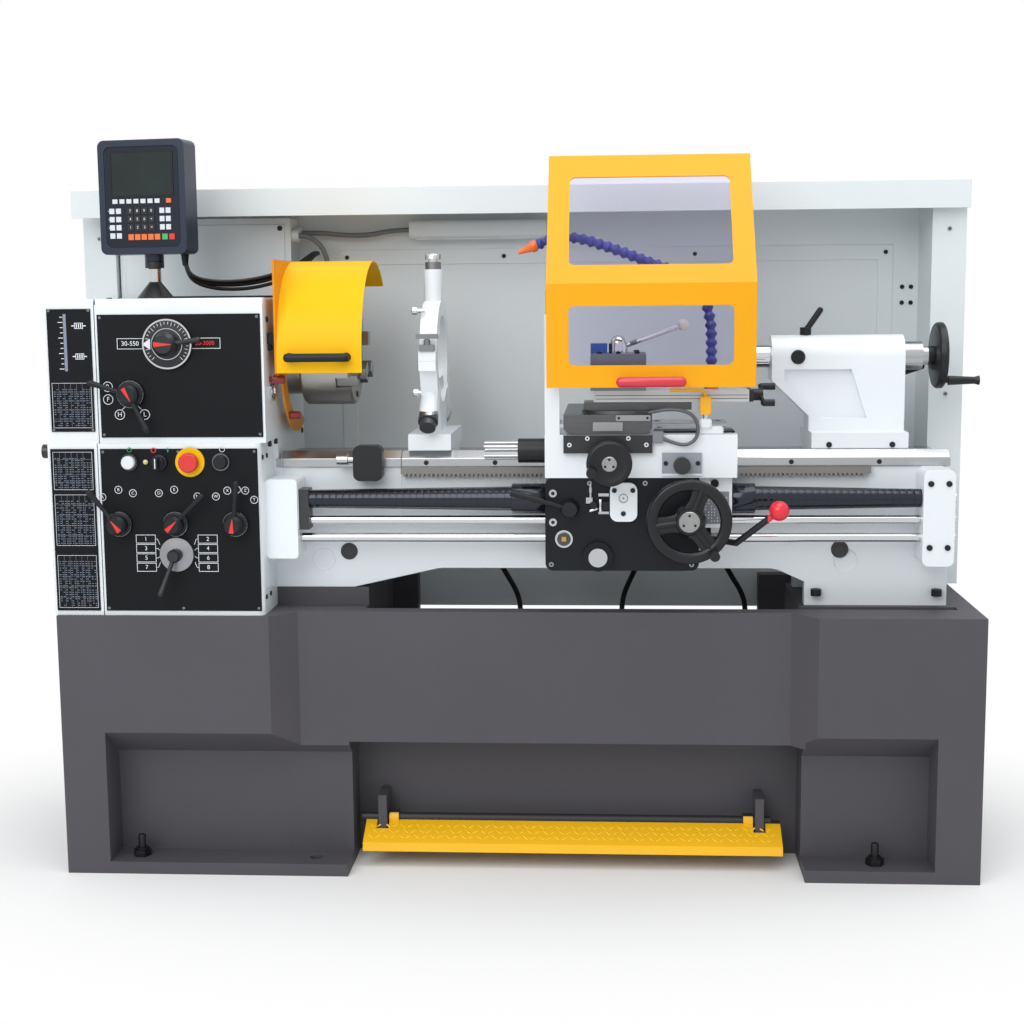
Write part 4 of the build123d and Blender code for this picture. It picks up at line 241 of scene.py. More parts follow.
def keep(name, shape, material, body, smooth=True):
    bmesh.ops.remove_doubles(shape, verts=shape.verts, dist=0.000005)
    bmesh.ops.recalc_face_normals(shape, faces=shape.faces)
    mesh = bpy.data.meshes.new(name)
    shape.to_mesh(mesh)
    shape.free()
    if smooth:
        mesh.polygons.foreach_set("use_smooth", [True] * len(mesh.polygons))
        mesh.set_sharp_from_angle(angle=radians(40))
    mesh.materials.append(material)
    made = put(name, mesh)
    if body:
        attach(made, body)
    return made


def skin(shape, rings, closed=False):
    for first, second in zip(rings, rings[1:] + rings[:1] if closed else rings[1:]):
        for side in range(len(first)):
            following = (side + 1) % len(first)
            shape.faces.new((first[side], first[following], second[following], second[side]))
    if not closed:
        shape.faces.new(rings[0][::-1])
        shape.faces.new(rings[-1])


def turned(shape, place, axis, profile, sides=32, closed=False):
    forward = Vector(axis).normalized()
    across = forward.orthogonal().normalized()
    upward = forward.cross(across)
    spokes = [across * cos(2 * pi * side / sides) + upward * sin(2 * pi * side / sides) for side in range(sides)]
    rings = [[shape.verts.new(place + (forward * along + spoke * radius) / 1000) for spoke in spokes]
             for along, radius in profile]
    skin(shape, rings, closed)


up, to_front, to_right = (0, 0, 1), (0, -1, 0), (1, 0, 0)
hammer_grey = finish("hammer_grey", (74, 72, 78), 0.62, stretch=(520, 520, 520), spread=0.16, bump=0.35)
dress("stand", hammer_grey, 3)
black_steel = finish("black_steel", (34, 35, 38), 0.42, metallic=0.6, spread=0.12)
dress("levelling_bolts", black_steel)
studs = bmesh.new()
for stud_x in (148, 1693):
    for stud_y in (44, 506):
        turned(studs, at(stud_x, stud_y, 42), up, ((0, 8), (28, 8), (30, 6.5), (30, 0.5)), 20)
keep("levelling_studs", studs, black_steel, "frame")


# The bed is a hardened casting, sprayed white below and ground bright along its ways, with a removable gap bridge.
# A toothed rack hangs under the front way, and dark plugs close the core holes in the front wall.
white = (233, 238, 242)
ground = (178, 180, 182)
bed_white = finish("bed_white", white, 0.36, spread=0.03, zones=(
    ((440, 130, 847), (1860, 390, 890), ground, 0.24, 1.0),
))
dress("bed", bed_white, 1.5)
dress("gap_bridge", bed_white, 1)
rack_steel = finish("rack_steel", (132, 130, 128), 0.36, metallic=1.0, stretch=(60, 900, 900), spread=0.08)
dress("feed_rack", rack_steel)
plug_black = finish("plug_black", (46, 47, 50), 0.5)
plugs = bmesh.new()
for plug_x, plug_z in ((592, 668), (1623, 673)):
    turned(plugs, at(plug_x, 140, plug_z), to_front, ((0, 18), (1.5, 18), (3, 16.5), (3, 12), (2, 11), (2, 0.5)))
keep("bed_plugs", plugs, plug_black, "frame")

heads, heads_in, heads_out = new_group("socket_screws", "GeometryNodeTree", (
    ("Geometry", "Geometry"), ("Radius", "Float", 0.005), ("Height", "Float", 0.004), ("Turn", "Vector", (0, 0, 0)),
    ("Head", "Material"), ("Recess", "Material"),
), (("Geometry", "Geometry"),))
recess_share, recess_rise = 0.52, 1.04
heads_disc = add(heads, "GeometryNodeMeshCylinder", {
    "Vertices": 20, "Radius": heads_in["Radius"], "Depth": heads_in["Height"]})
heads_hex = add(heads, "GeometryNodeMeshCylinder", {
    "Vertices": 6, "Radius": maths(heads, "MULTIPLY", heads_in["Radius"], recess_share),
    "Depth": maths(heads, "MULTIPLY", heads_in["Height"], recess_rise)})
heads_join = add(heads, "GeometryNodeJoinGeometry")
for heads_mesh, heads_material in ((heads_disc, "Head"), (heads_hex, "Recess")):
    feed(heads_join, {0: add(heads, "GeometryNodeSetMaterial", {
        "Geometry": heads_mesh, "Material": heads_in[heads_material]})})
heads_place = add(heads, "GeometryNodeInstanceOnPoints", {
    "Points": add(heads, "GeometryNodeMeshToPoints", {"Mesh": heads_in["Geometry"]}), "Instance": heads_join,
    "Rotation": add(heads, "FunctionNodeEulerToRotation", {0: heads_in["Turn"]})})
feed(heads_out, {"Geometry": add(heads, "GeometryNodeRealizeInstances", {0: heads_place})})


def to_mesh(source):
    bpy.context.view_layer.update()
    mesh = bpy.data.meshes.new_from_object(source.evaluated_get(bpy.context.evaluated_depsgraph_get()))
    bpy.data.objects.remove(source)
    return mesh


def dots(name, places):
    mesh = bpy.data.meshes.new(name + "_places")
    mesh.from_pydata(places, [], [])
    return mesh


def grow(name, tree, mesh, settings, body):
    seed = put(name + "_seed", mesh)
    growth = seed.modifiers.new("growth", "NODES")
    growth.node_group = tree
    for item in tree.interface.items_tree:
        if item.in_out == "INPUT" and item.name in settings:
            growth[item.identifier] = settings[item.name]
    made = put(name, to_mesh(seed))
    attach(made, body)
    return made


recess_black = finish("recess_black", (12, 12, 13), 0.7)
screw_steel = finish("screw_steel", (150, 150, 152), 0.3, metallic=1.0)
facing = {"front": (radians(90), 0, 0), "top": (0, 0, 0), "left": (0, radians(90), 0)}


def screws(name, places, face, radius, height, body, head=black_steel):
    grow(name, heads, dots(name, [at(*place) for place in places]), {
        "Radius": radius / 1000, "Height": height / 1000, "Turn": facing[face], "Head": head,
        "Recess": recess_black}, body)


screws("bed_foot_bolts", [(x, y, 584) for x in (1574, 1822) for y in (128, 392)], "top", 11, 14, "frame")
screws("way_bolts", [(x, 134, 857) for x in (760, 905, 1520, 1700)], "front", 5, 3, "frame")


# The headstock is a cast housing with a bolted lid; the feed gearbox hangs below it and the end cover hides the gears.
# All three are sprayed the same smooth machine white, with cap screws and one black clamping knob at the left end.
def white_casting(name, zones=()):
    return finish(name, white, 0.34, spread=0.03, bump=0.03, coat=0.25, zones=zones)


machine_white = white_casting("machine_white")
dress("headstock_housing", machine_white, 2)
dress("end_gear_cover", white_casting("cover_white", (
    ((-90, 60, 780), (-8, 200, 1000), (24, 24, 26), 0.35, 0.0),
)), 2)
dress("feed_gearbox", white_casting("gearbox_white", (
    ((502, 40, 600), (540, 140, 840), (36, 37, 40), 0.5, 0.0),
)), 2)
flange_screws = [(445, y, z) for y, z in ((60, 905), (120, 905), (60, 1160), (400, 1160), (400, 905))]
screws("head_flange_screws", flange_screws, "left", 6, 6, "frame")
screws("lid_screws", [(x, y, 1204) for x in (125, 272, 420) for y in (48, 408)], "top", 6, 4, "frame")
screws("gearbox_screws", [(435.5, y, z) for y in (30, 70) for z in (590, 880)], "left", 5, 4, "frame")


def bar(shape, x0, x1, y0, y1, z0, z1):
    low, high = at(x0, y0, z0), at(x1, y1, z1)
    size = Matrix.Diagonal((high.x - low.x, high.y - low.y, high.z - low.z, 1))
    bmesh.ops.create_cube(shape, size=1, matrix=Matrix.Translation((low + high) / 2) @ size)


def blocks(name, bars, soft, material, body, steps=2):
    shape = bmesh.new()
    for edges in bars:
        bar(shape, *edges)
    bmesh.ops.bevel(shape, geom=shape.edges[:], offset=soft / 1000, segments=steps, affect="EDGES")
    keep(name, shape, material, body)


def round_piece(name, place, axis, profile, material, body, sides=24):
    shape = bmesh.new()
    turned(shape, at(*place), axis, profile, sides)
    keep(name, shape, material, body)


mat_black = finish("mat_black", (30, 31, 34), 0.6, spread=0.1, shine=0.3)
blocks("lid_mat", ((236, 440, 64, 402, 1203.6, 1208),), 1.2, mat_black, "frame")
chrome = finish("chrome", (205, 206, 208), 0.12, metallic=1.0, spread=0.04, bump=0.01)
round_piece("head_sight_glass", (445, 90, 1010), to_right, (
    (0, 19), (4, 19), (6, 17), (6, 13), (3.5, 12), (4.5, 4), (4.8, 0.5)), chrome, "frame", 32)


# Four aluminium front plates, printed matt black, carry the speed, feed and chart markings in white line work.
# Each is held by small round-headed screws; the stop button's collar is yellow and the others are chromed.
plate_black = finish("plate_black", (15, 17, 21), 0.5, stretch=(700, 700, 700), spread=0.08, bump=0.04,
                     shine=0.16, zones=(
    ((255, -2, 836), (328, 7, 910), (240, 190, 20), 0.35, 0.0),
    ((140, -2, 850), (190, 7, 896), (70, 72, 76), 0.25, 1.0),
    ((330, -2, 850), (382, 7, 896), (110, 112, 116), 0.25, 1.0),
))
dress("front_plates", plate_black, 0.6)
upper_y, lower_y = 22.2, 7.2
ink, thick_ink = 0.3, 0.4
print_white = finish("print_white", (226, 230, 236), 0.5, spread=0.03)
print_red = finish("print_red", (226, 46, 38), 0.42, spread=0.04)
print_green = finish("print_green", (40, 150, 80), 0.45, spread=0.04)
print_slate = finish("print_slate", (128, 138, 156), 0.5, spread=0.04)


def hoop(shape, place, outer, inner, depth, sides=28):
    turned(shape, at(*place), to_front, ((0, inner), (0, outer), (depth, outer), (depth, inner)), sides, closed=True)


def outline(shape, x0, x1, y, z0, z1, line=1.1):
    for left, right, low, high in ((x0, x1, z0, z0 + line), (x0, x1, z1 - line, z1),
                                   (x0, x0 + line, z0 + line, z1 - line), (x1 - line, x1, z0 + line, z1 - line)):
        bar(shape, left, right, y, y + thick_ink, low, high)


def figures(shape, words, place, size):
    letters = bpy.data.curves.new("letters", "FONT")
    letters.body = words
    letters.size = size / 1000
    letters.extrude = 0.0001
    letters.align_x = letters.align_y = "CENTER"
    flat = to_mesh(put("letters", letters))
    flat.transform(Matrix.Translation(place) @ Matrix.Rotation(radians(90), 4, "X"))
    shape.from_mesh(flat)


def stroke(shape, x0, z0, x1, z1, y, width=1.1):
    start, end = at(x0, y, z0), at(x1, y, z1)
    across = (end - start).normalized().cross(Vector((0, 1, 0))) * width / 2000
    corners = [start - across, start + across, end + across, end - across]
    shape.faces.new([shape.verts.new(corner) for corner in corners])


marks = bmesh.new()
outline(marks, 145, 206, upper_y, 1102, 1124)
outline(marks, 295, 358, upper_y, 1102, 1124)
figures(marks, "30-550", at(172, upper_y, 1113), 13)
stroke(marks, 158, 986, 150, 979, upper_y)
stroke(marks, 184, 986, 191, 979, upper_y)
range_letters = ((145, 969, "H"), (197, 969, "L"), (122, 1000, "F"), (122, 1026, "R"))
feed_letters = ((106, 801, "A"), (140, 816, "B"), (170, 809, "C"), (224, 809, "D"), (256, 816, "E"), (304, 802, "M"),
                (342, 802, "W"), (366, 814, "X"), (386, 816, "Y"), (403, 814, "Z"), (421, 795, "T"))
for letters, face_y, outer, inner, size in (
    (range_letters, upper_y, 10.5, 9.2, 13), (feed_letters, lower_y, 8, 6.8, 9),
):
    for mark_x, mark_z, mark in letters:
        hoop(marks, (mark_x, face_y + ink, mark_z), outer, inner, thick_ink)
        figures(marks, mark, at(mark_x, face_y, mark_z), size)
hoop(marks, (358, lower_y + ink, 899), 6, 4.8, thick_ink)
gate_middle_x, gate_middle_z = 258, 684
for row in range(4):
    gate_z = 714 - 19.6 * row
    for gate_x, way, number in ((193, 1, 2 * row + 1), (322, -1, 2 * row + 2)):
        outline(marks, gate_x - 20.5, gate_x + 20.5, lower_y, gate_z - 9, gate_z + 9)
        figures(marks, str(number), at(gate_x, lower_y, gate_z), 12)
        inner_x = gate_middle_x - way * 36
        inner_z = gate_middle_z + (gate_z - gate_middle_z) * 0.62
        bend_x = (gate_x + inner_x) / 2 + way * 10
        stroke(marks, gate_x + way * 20, gate_z, bend_x, gate_z, lower_y)
        stroke(marks, bend_x, gate_z, inner_x, inner_z, lower_y)
charts = ((942, 1034, upper_y), (570, 680, lower_y), (700, 806, lower_y), (816, 894, lower_y))
for chart_low, chart_high, chart_y in charts:
    outline(marks, 6, 88, chart_y, chart_low, chart_high, 0.7)
for tick in range(11):
    tick_long = 10 if tick % 3 == 0 else 6
    bar(marks, 34 - tick_long, 34, upper_y, upper_y + ink, 1062 + 10.5 * tick, 1063.4 + 10.5 * tick)
for picture_z in (1150, 1088):
    outline(marks, 58, 76, upper_y, picture_z - 6, picture_z + 6, 1.2)
    for bar_x, bar_wide, bar_half in ((61.5, 2.2, 4), (66, 2.2, 4), (70.5, 2.2, 4), (52, 6, 1), (76, 6, 1)):
        bar(marks, bar_x, bar_x + bar_wide, upper_y, upper_y + ink, picture_z - bar_half, picture_z + bar_half)
keep("plate_marks", marks, print_white, "frame", smooth=False)
scale_marks = bmesh.new()
bar(scale_marks, 35, 41, upper_y, upper_y + ink, 1058, 1174)
for chart_low, chart_high, chart_y in charts:
    for grid_x in (20, 32, 44.5, 57, 69):
        bar(scale_marks, grid_x, grid_x + 0.4, chart_y, chart_y + ink, chart_low + 0.9, chart_high - 0.9)
    for grid_row in range(1, 5):
        grid_z = chart_low + (chart_high - chart_low) * grid_row / 5
        bar(scale_marks, 6.9, 87.1, chart_y, chart_y + ink, grid_z, grid_z + 0.4)
keep("plate_scales", scale_marks, print_slate, "frame", smooth=False)
red_marks = bmesh.new()
figures(red_marks, "20-3000", at(326, upper_y, 1113), 12)
hoop(red_marks, (216, lower_y + ink, 897), 5.5, 3.6, thick_ink)
keep("red_plate_marks", red_marks, print_red, "frame", smooth=False)
green_marks = bmesh.new()
bar(green_marks, 244.5, 247, lower_y, lower_y + ink, 893, 902)
hoop(green_marks, (166, lower_y + ink, 898), 5, 3.6, thick_ink)
keep("green_plate_marks", green_marks, print_green, "frame", smooth=False)


def paint_out(tree, group_in, group_out, geometry):
    real = add(tree, "GeometryNodeRealizeInstances", {0: geometry})
    feed(group_out, {"Geometry": add(tree, "GeometryNodeSetMaterial", {
        "Geometry": real, "Material": group_in["Finish"]})})


rows, rows_in, rows_out = new_group("chart_rows", "GeometryNodeTree", (
    ("Geometry", "Geometry"), ("Cell", "Vector", (0.004, 0.0003, 0.002)), ("Kept", "Float", 0.8), ("Seed", "Int", 3),
    ("Finish", "Material"),
), (("Geometry", "Geometry"),))
rows_pick = add(rows, "FunctionNodeRandomValue", {"Probability": rows_in["Kept"], "Seed": rows_in["Seed"]},
                data_type="BOOLEAN")
rows_place = add(rows, "GeometryNodeInstanceOnPoints", {
    "Points": add(rows, "GeometryNodeMeshToPoints", {"Mesh": rows_in["Geometry"]}), "Selection": rows_pick.outputs[3],
    "Instance": add(rows, "GeometryNodeMeshCube", {"Size": rows_in["Cell"]})})
paint_out(rows, rows_in, rows_out, rows_place)


def cells(name, places, cell, body, slot, material, kept=1.0, seed=3):
    settings = {"Cell": [size / 1000 for size in cell], "Kept": kept, "Seed": seed, "Finish": material}
    return grow(name, rows, dots(name, places), settings, body)


chart_places = []
line_step, column_step, columns, chart_border = 4.6, 6.1, 13, 12
for chart_low, chart_high, chart_y in charts:
    for row in range(int((chart_high - chart_low - chart_border) / line_step)):
        for column in range(columns):
            chart_places.append(at(11 + column_step * column, chart_y + 0.1, chart_low + 5 + line_step * row))
cells("chart_figures", chart_places, (3.2, 0.4, 1.2), "frame", "white_paint", print_slate, kept=0.75)
plate_corners = [(x, upper_y, z) for x in (111, 434) for z in (928, 1166)]
plate_corners += [(x, lower_y, z) for x in (111, 267, 424) for z in (570, 894)]
plate_corners += [(x, upper_y, z) for x in (6, 88) for z in (938, 1181)]
screws("plate_screws", plate_corners, "front", 2.6, 1.6, "frame", screw_steel)
pilot_amber = finish("pilot_amber", (226, 205, 150), 0.2, spread=0.05, coat=0.6)
round_piece("pilot_lamp", (199, lower_y, 873), to_front, (
    (0, 5), (2, 5), (3, 4.2), (3.4, 3), (4.6, 1.8), (5, 0.4)), pilot_amber, "frame", 20)


# The hand controls are moulded black knobs on turned steel shafts, with lever arms that unscrew from them.
# Each knob carries an inlaid red pointer, and a bright ring shows round the foot of each selector.
moulded_black = finish("moulded_black", (26, 28, 33), 0.42, stretch=(900, 900, 900), spread=0.1, shine=0.28)
dial_black = finish("dial_black", (44, 46, 50), 0.3, metallic=0.4, stretch=(900, 900, 900), spread=0.1, zones=(
    ((280, -60, 1060), (340, 16, 1180), (20, 20, 22), 0.35, 0.0),
))
dress("speed_knob", dial_black, 0.8)
gate_steel = finish("gate_steel", (150, 152, 156), 0.34, metallic=0.9, spread=0.1, zones=(
    ((200, -80, 560), (320, -4.5, 760), (36, 37, 40), 0.4, 0.2),
))
dress("gate_lever", gate_steel, 0.6)
tip_half, sunk = 0.6, Vector((0, 0.0012, 0))


def pointer(name, place, angle, long_end, short_end, width, body):
    wedge = bmesh.new()
    turn = radians(angle)
    along, across = Vector((cos(turn), 0, sin(turn))), Vector((-sin(turn), 0, cos(turn)))
    corners = [at(*place) + (along * reach + across * half) / 1000 for reach, half in (
        (long_end, tip_half), (-short_end, width), (-short_end, -width), (long_end, -tip_half))]
    skin(wedge, [[wedge.verts.new(corner + depth) for corner in corners] for depth in (sunk, Vector())])
    keep(name, wedge, print_red, body, smooth=False)


def foot_ring(name, place, radius, body):
    ring = bmesh.new()
    hoop(ring, place, radius, radius - 3, 2.4, 40)
    keep(name, ring, chrome, body)


speed_x, speed_z, dial_y = 250, 1112, 14.3
speed_top, range_top, feed_top = upper_y - 42.3, upper_y - 36.3, lower_y - 40.3
range_foot, feed_foot, switch_top = upper_y - 9, lower_y - 7.5, lower_y - 36
pointer("speed_pointer", (speed_x, speed_top, speed_z), 0, 18, 18, 5, "speed_knob")
rings = bmesh.new()
hoop(rings, (speed_x, dial_y, speed_z), 50.8, 47.5, 0.6, 64)
hoop(rings, (speed_x, dial_y, speed_z), 32, 30.6, 0.5, 48)
keep("speed_dial_ring", rings, chrome, "speed_knob")
dial_ticks = bmesh.new()
tick_half, tick_reach, long_tick, short_tick = 0.0005, 0.045, 0.008, 0.005
for tick in range(28):
    turn = radians(tick * 10 - 45)
    spoke, wide = Vector((cos(turn), 0, sin(turn))), Vector((-sin(turn), 0, cos(turn))) * tick_half
    first = at(speed_x, 14, speed_z) + spoke * tick_reach
    last = first - spoke * (long_tick if tick % 3 == 0 else short_tick)
    corners = (first - wide, first + wide, last + wide, last - wide)
    dial_ticks.faces.new([dial_ticks.verts.new(corner) for corner in corners])
keep("speed_dial_ticks", dial_ticks, print_white, "speed_knob", smooth=False)
flag = bmesh.new()
flag.faces.new([flag.verts.new(at(x, 13.9, z)) for x, z in ((199, 1112), (216, 1123), (216, 1101))])
keep("speed_flag", flag, print_white, "speed_knob", smooth=False)
dress("range_lever", moulded_black, 0.8)
pointer("range_pointer", (171, range_top, 1011), 298, 15, 15, 4.5, "range_lever")
foot_ring("range_ring", (171, range_foot, 1011), 27.4, "range_lever")
for side_name, knob_x, knob_angle in (("left", 141.7, 128), ("middle", 258.1, 44), ("right", 382.2, 84)):
    selector = "feed_selector_" + side_name
    dress(selector, moulded_black, 0.8)
    pointer("feed_pointer_" + side_name, (knob_x, feed_top, 746.1), knob_angle, 14, 15, 5, selector)
    foot_ring("feed_ring_" + side_name, (knob_x, feed_foot, 746.1), 25.4, selector)
start_white = finish("start_white", (224, 228, 232), 0.3, spread=0.03, coat=0.4)
stop_red = finish("stop_red", (214, 44, 46), 0.36, spread=0.04, coat=0.3)
dress("start_button", start_white, 0.8)
dress("jog_button", moulded_black, 0.8)
dress("stop_button", stop_red, 1.5)
dress("power_switch", moulded_black, 0.6)
switch_line = bmesh.new()
bar(switch_line, 227.2, 229.2, switch_top, switch_top + ink, 863, 883)
keep("switch_line", switch_line, print_white, "power_switch", smooth=False)


# The spindle runs through the headstock and carries a three-jaw chuck with a flat scroll.
# Nose, body and jaws are turned and ground steel, with a faint grain round the axis.
spindle_y, spindle_z = 260, 1070
turned_steel = finish("turned_steel", (158, 158, 158), 0.28, metallic=1.0, stretch=(900, 4, 4), spread=0.03,
                      bump=0.003)
dress("spindle", turned_steel, 0.8)
chuck_steel = finish("chuck_steel", (168, 164, 158), 0.34, metallic=1.0, stretch=(900, 4, 4), spread=0.025,
                     bump=0.003)
dress("chuck_body", chuck_steel, 1.5)
for jaw in ("chuck_jaw_top", "chuck_jaw_front", "chuck_jaw_rear"):
    dress(jaw, turned_steel, 0.8)
face_circle = 75
screws("chuck_face_screws", [
    (597.5, spindle_y + face_circle * cos(radians(a)), spindle_z + face_circle * sin(radians(a)))
    for a in (150, 270, 30)], "left", 6.5, 3, "spindle")


# The chuck guard is a rolled sheet, powder coated yellow, on a folded end plate that swings on a pin in the headstock.
# A black bow handle is screwed to its front, and a red stop pin under it rests on the housing's flange.
guard_yellow = finish("guard_yellow", (248, 188, 0), 0.42, stretch=(600, 600, 600), spread=0.03, shine=0.2, zones=(
    # painted shade: the end plate's yellow is darkened to orange where the hood shades it
    ((440, 20, 850), (466.2, 460, 1300), (222, 142, 26), 0.4, 0.0),
    ((470, 0, 1040), (640, 47, 1110), (26, 27, 30), 0.35, 0.0),
))
dress("chuck_guard", guard_yellow, 0.8)
pin_red = finish("pin_red", (140, 40, 40), 0.4, spread=0.08)
round_piece("guard_stop_pin", (445, 76, 1036), to_right, (
    (0, 6), (4, 6), (4, 4), (8, 4), (8, 9), (30, 9), (32, 7.5), (32, 0.5)), pin_red, "frame")
guard_handle = bmesh.new()
turned(guard_handle, at(485, 26, 1082), to_right, (
    (0, 0.5), (0.6, 4), (2, 6.6), (5, 8.4), (9, 8.8), (124, 8.8), (128, 8.4), (131, 6.6), (132.4, 4), (133, 0.5)), 28)
for post_x in (493, 610):
    turned(guard_handle, at(post_x, 50, 1082), to_front, ((0, 9.5), (2, 9.5), (5, 7.6), (24, 7.6)), 24)
keep("guard_handle", guard_handle, moulded_black, "chuck_guard")
round_piece("guard_spacer", (465, 166, 956), to_right, (
    (0, 5), (3, 5), (3, 8.5), (22, 8.5), (24, 7), (24, 0.5)), pin_red, "chuck_guard")
blocks("guard_switch", ((445, 460, 60, 92, 1108, 1132), (445, 452, 66, 86, 1096, 1108)), 1.5, moulded_black,
       "frame")


# Three ground rods run along the bed's front, between the seal block and the tail bracket.
# Two telescopic steel covers, blued almost black, keep chips off the leadscrew and stretch with the carriage.
for rod in ("leadscrew", "feed_rod", "control_rod"):
    dress(rod, chrome)
dress("tail_bracket", machine_white, 1.5)
screws("bracket_screws", [(x, 51.4, z) for x in (1790, 1826) for z in (690, 820)], "front", 6, 4, "frame")
blued_steel = finish("blued_steel", (27, 31, 44), 0.2, metallic=0.6, stretch=(1200, 20, 20), spread=0.06,
                     bump=0.02, coat=0.4)
screw_y, screw_z = 80, 788
coil_small, coil_large, coil_pitch = 19, 25, 14
for cover_name, start, end, collar_run, end_anchor in (
    ("left_screw_cover", 523.5, 1013.5, 70, 940), ("right_screw_cover", 1775.5, 1392.5, 48, 1444),
):
    span = abs(end - start) - collar_run
    profile = [(0, coil_small - 2)]
    turns = int(span / coil_pitch)
    for turn in range(turns):
        radius = coil_small + (coil_large - coil_small) * turn / turns
        here, step = span * turn / turns, span / turns
        profile += [(here, radius), (here + step * 0.95, radius + 0.1), (here + step * 0.96, radius - 0.1)]
    profile += [(span, coil_large), (span, 30), (span + 3, 31), (span + collar_run - 3, 31), (span + collar_run, 29.5)]
    cover = bmesh.new()
    turned(cover, at(start, screw_y, screw_z), (1 if end > start else -1, 0, 0), profile, 40)
    screw_cover = keep(cover_name, cover, blued_steel, None)
    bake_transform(screw_cover)
    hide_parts("leadscrew_covers")


# The cabinet, the backsplash with its canopy and columns, and the work lamp are folded sheet steel.
# They are sprayed in the machine's white; small bolts hold the raised frame, the door and the columns.
def sheet_paint(name, zones=()):
    return finish(name, (222, 228, 230), 0.42, stretch=(500, 500, 500), spread=0.035, bump=0.04, zones=zones)


sheet_white = sheet_paint("sheet_white")
dress("electrical_cabinet", sheet_white, 1.5)
dress("backsplash", sheet_paint("splash_white", [
    ((seam_x, 551, 500), (seam_x + 2, 560, 1500), (120, 126, 128), 0.6, 0.0) for seam_x in (640, 1260)]), 0.8)
dress("work_lamp", sheet_white, 1)
frosted = finish("frosted_glass", (240, 243, 245), 0.55, spread=0.02)
blocks("lamp_diffuser", ((700, 988, 499, 542, 1333.4, 1336),), 0.8, frosted, "frame")
frame_bolts = [(x, 546.6, z) for x in (534, 900, 1340, 1773) for z in (637, 1295)]
frame_bolts += [(x, 549, z) for x in (1812, 1832) for z in (1180, 1216, 700)]
screws("splash_bolts", frame_bolts, "front", 5, 3, "frame")
screws("door_screws", [(x, 452.6, z) for x in (48, 397) for z in (660, 1010, 1360)], "front", 6, 3, "frame")
column_caps = [(x, y, z) for x, y in ((-17, 439.2), (1885, 399.2)) for z in (600, 980, 1340)]
screws("column_screws", column_caps, "front", 5, 2.4, "frame", screw_steel)


# Grey ribbed conduits lead from the cabinet to the lamp and down behind the bed, and three black drain hoses
# hang from the bed's rear wall into the chip tray. All are flexible plastic, held only at their two ends.
conduit_grey = finish("conduit_grey", (120, 122, 126), 0.5, spread=0.06)
rubber_black = finish("rubber_black", (32, 32, 34), 0.55, stretch=(600, 600, 600), spread=0.1)


def cord_line(name, points, radius=0.0):
    line = bpy.data.curves.new(name, "CURVE")
    line.dimensions = "3D"
    line.resolution_u = 12
    run = line.splines.new("NURBS")
    run.points.add(len(points) - 1)
    for point, place in zip(run.points, points):
        point.co = (*at(*place), 1)
    run.order_u = 3
    run.use_endpoint_u = True
    line.bevel_depth = radius / 1000
    line.bevel_resolution = 5
    return put(name, line)


def path_of(name, points):
    return [vertex.co.copy() for vertex in to_mesh(cord_line(name + "_guide", points)).vertices]


def path_length(path):
    return sum((after - before).length for before, after in zip(path, path[1:]))


ribbed, ribbed_in, ribbed_out = new_group("ribbed_tube", "GeometryNodeTree", (
    ("Geometry", "Geometry"), ("Radius", "Float", 0.009), ("Pitch", "Float", 0.002), ("Steps", "Float", 2),
    ("Depth", "Float", 0.06), ("Finish", "Material"),
), (("Geometry", "Geometry"),))
ribbed_line = add(ribbed, "GeometryNodeMeshToCurve", {"Mesh": ribbed_in["Geometry"]})
ribbed_even = add(ribbed, "GeometryNodeResampleCurve", {"Curve": ribbed_line, "Length": ribbed_in["Pitch"]},
                  mode="LENGTH")
ribbed_round = maths(ribbed, "MULTIPLY", add(ribbed, "GeometryNodeInputIndex"), 2 * pi)
ribbed_wave = maths(ribbed, "COSINE", maths(ribbed, "DIVIDE", ribbed_round, ribbed_in["Steps"]))
ribbed_mean = maths(ribbed, "SUBTRACT", 1, ribbed_in["Depth"])
ribbed_skin = add(ribbed, "GeometryNodeCurveToMesh", {
    "Curve": ribbed_even, "Fill Caps": True,
    "Profile Curve": add(ribbed, "GeometryNodeCurvePrimitiveCircle", {"Resolution": 14, "Radius": ribbed_in["Radius"]}),
    "Scale": maths(ribbed, "MULTIPLY_ADD", ribbed_wave, ribbed_in["Depth"], ribbed_mean)})
paint_out(ribbed, ribbed_in, ribbed_out, ribbed_skin)


def ribbed_along(name, points, settings, body):
    path = path_of(name, points)
    mesh = bpy.data.meshes.new(name + "_path")
    mesh.from_pydata(path, [(i, i + 1) for i in range(len(path) - 1)], [])
    return grow(name, ribbed, mesh, settings, body), path


lamp_points = ((437, 505, 1351), (482, 505, 1351), (532, 507, 1345), (590, 512, 1344), (645, 519, 1355.5),
               (687, 519, 1355.5))
drop_points = ((437, 476, 1344), (452.9, 476, 1344), (480, 482, 1328.6), (495.1, 487.9, 1300.3),
               (497.3, 502.4, 1269.9), (498, 532.3, 1250), (498, 550, 1250))
for conduit_name, conduit_points in (("lamp_conduit", lamp_points), ("drop_conduit", drop_points)):
    conduit, conduit_path = ribbed_along(conduit_name, conduit_points, {
        "Radius": 0.006, "Pitch": 0.0018, "Finish": conduit_grey}, "frame")
    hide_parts("hoses")
drain_y, drain_depth, drain_z = 380, 130, 554
drain_shape = ((0, 0, 52), (0, 0.215, 52), (0.16, 0.415, 36), (0.47, 0.6, 2), (0.84, 0.72, -34), (1, 0.77, -68),
               (1, 0.77, -96))
for drain_name, drain_start, drain_run in (("left_drain", 887, 49), ("middle_drain", 1213, -41),
                                           ("right_drain", 1398, 60)):
    drain_points = [(drain_start + drain_run * along, drain_y + drain_depth * back, drain_z + rise)
                    for along, back, rise in drain_shape]
    drain = cord_line(drain_name, drain_points, 6)
    drain.data.materials.append(rubber_black)
    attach(drain, "frame")
    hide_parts("hoses")
    path_length(path_of(drain_name, drain_points))


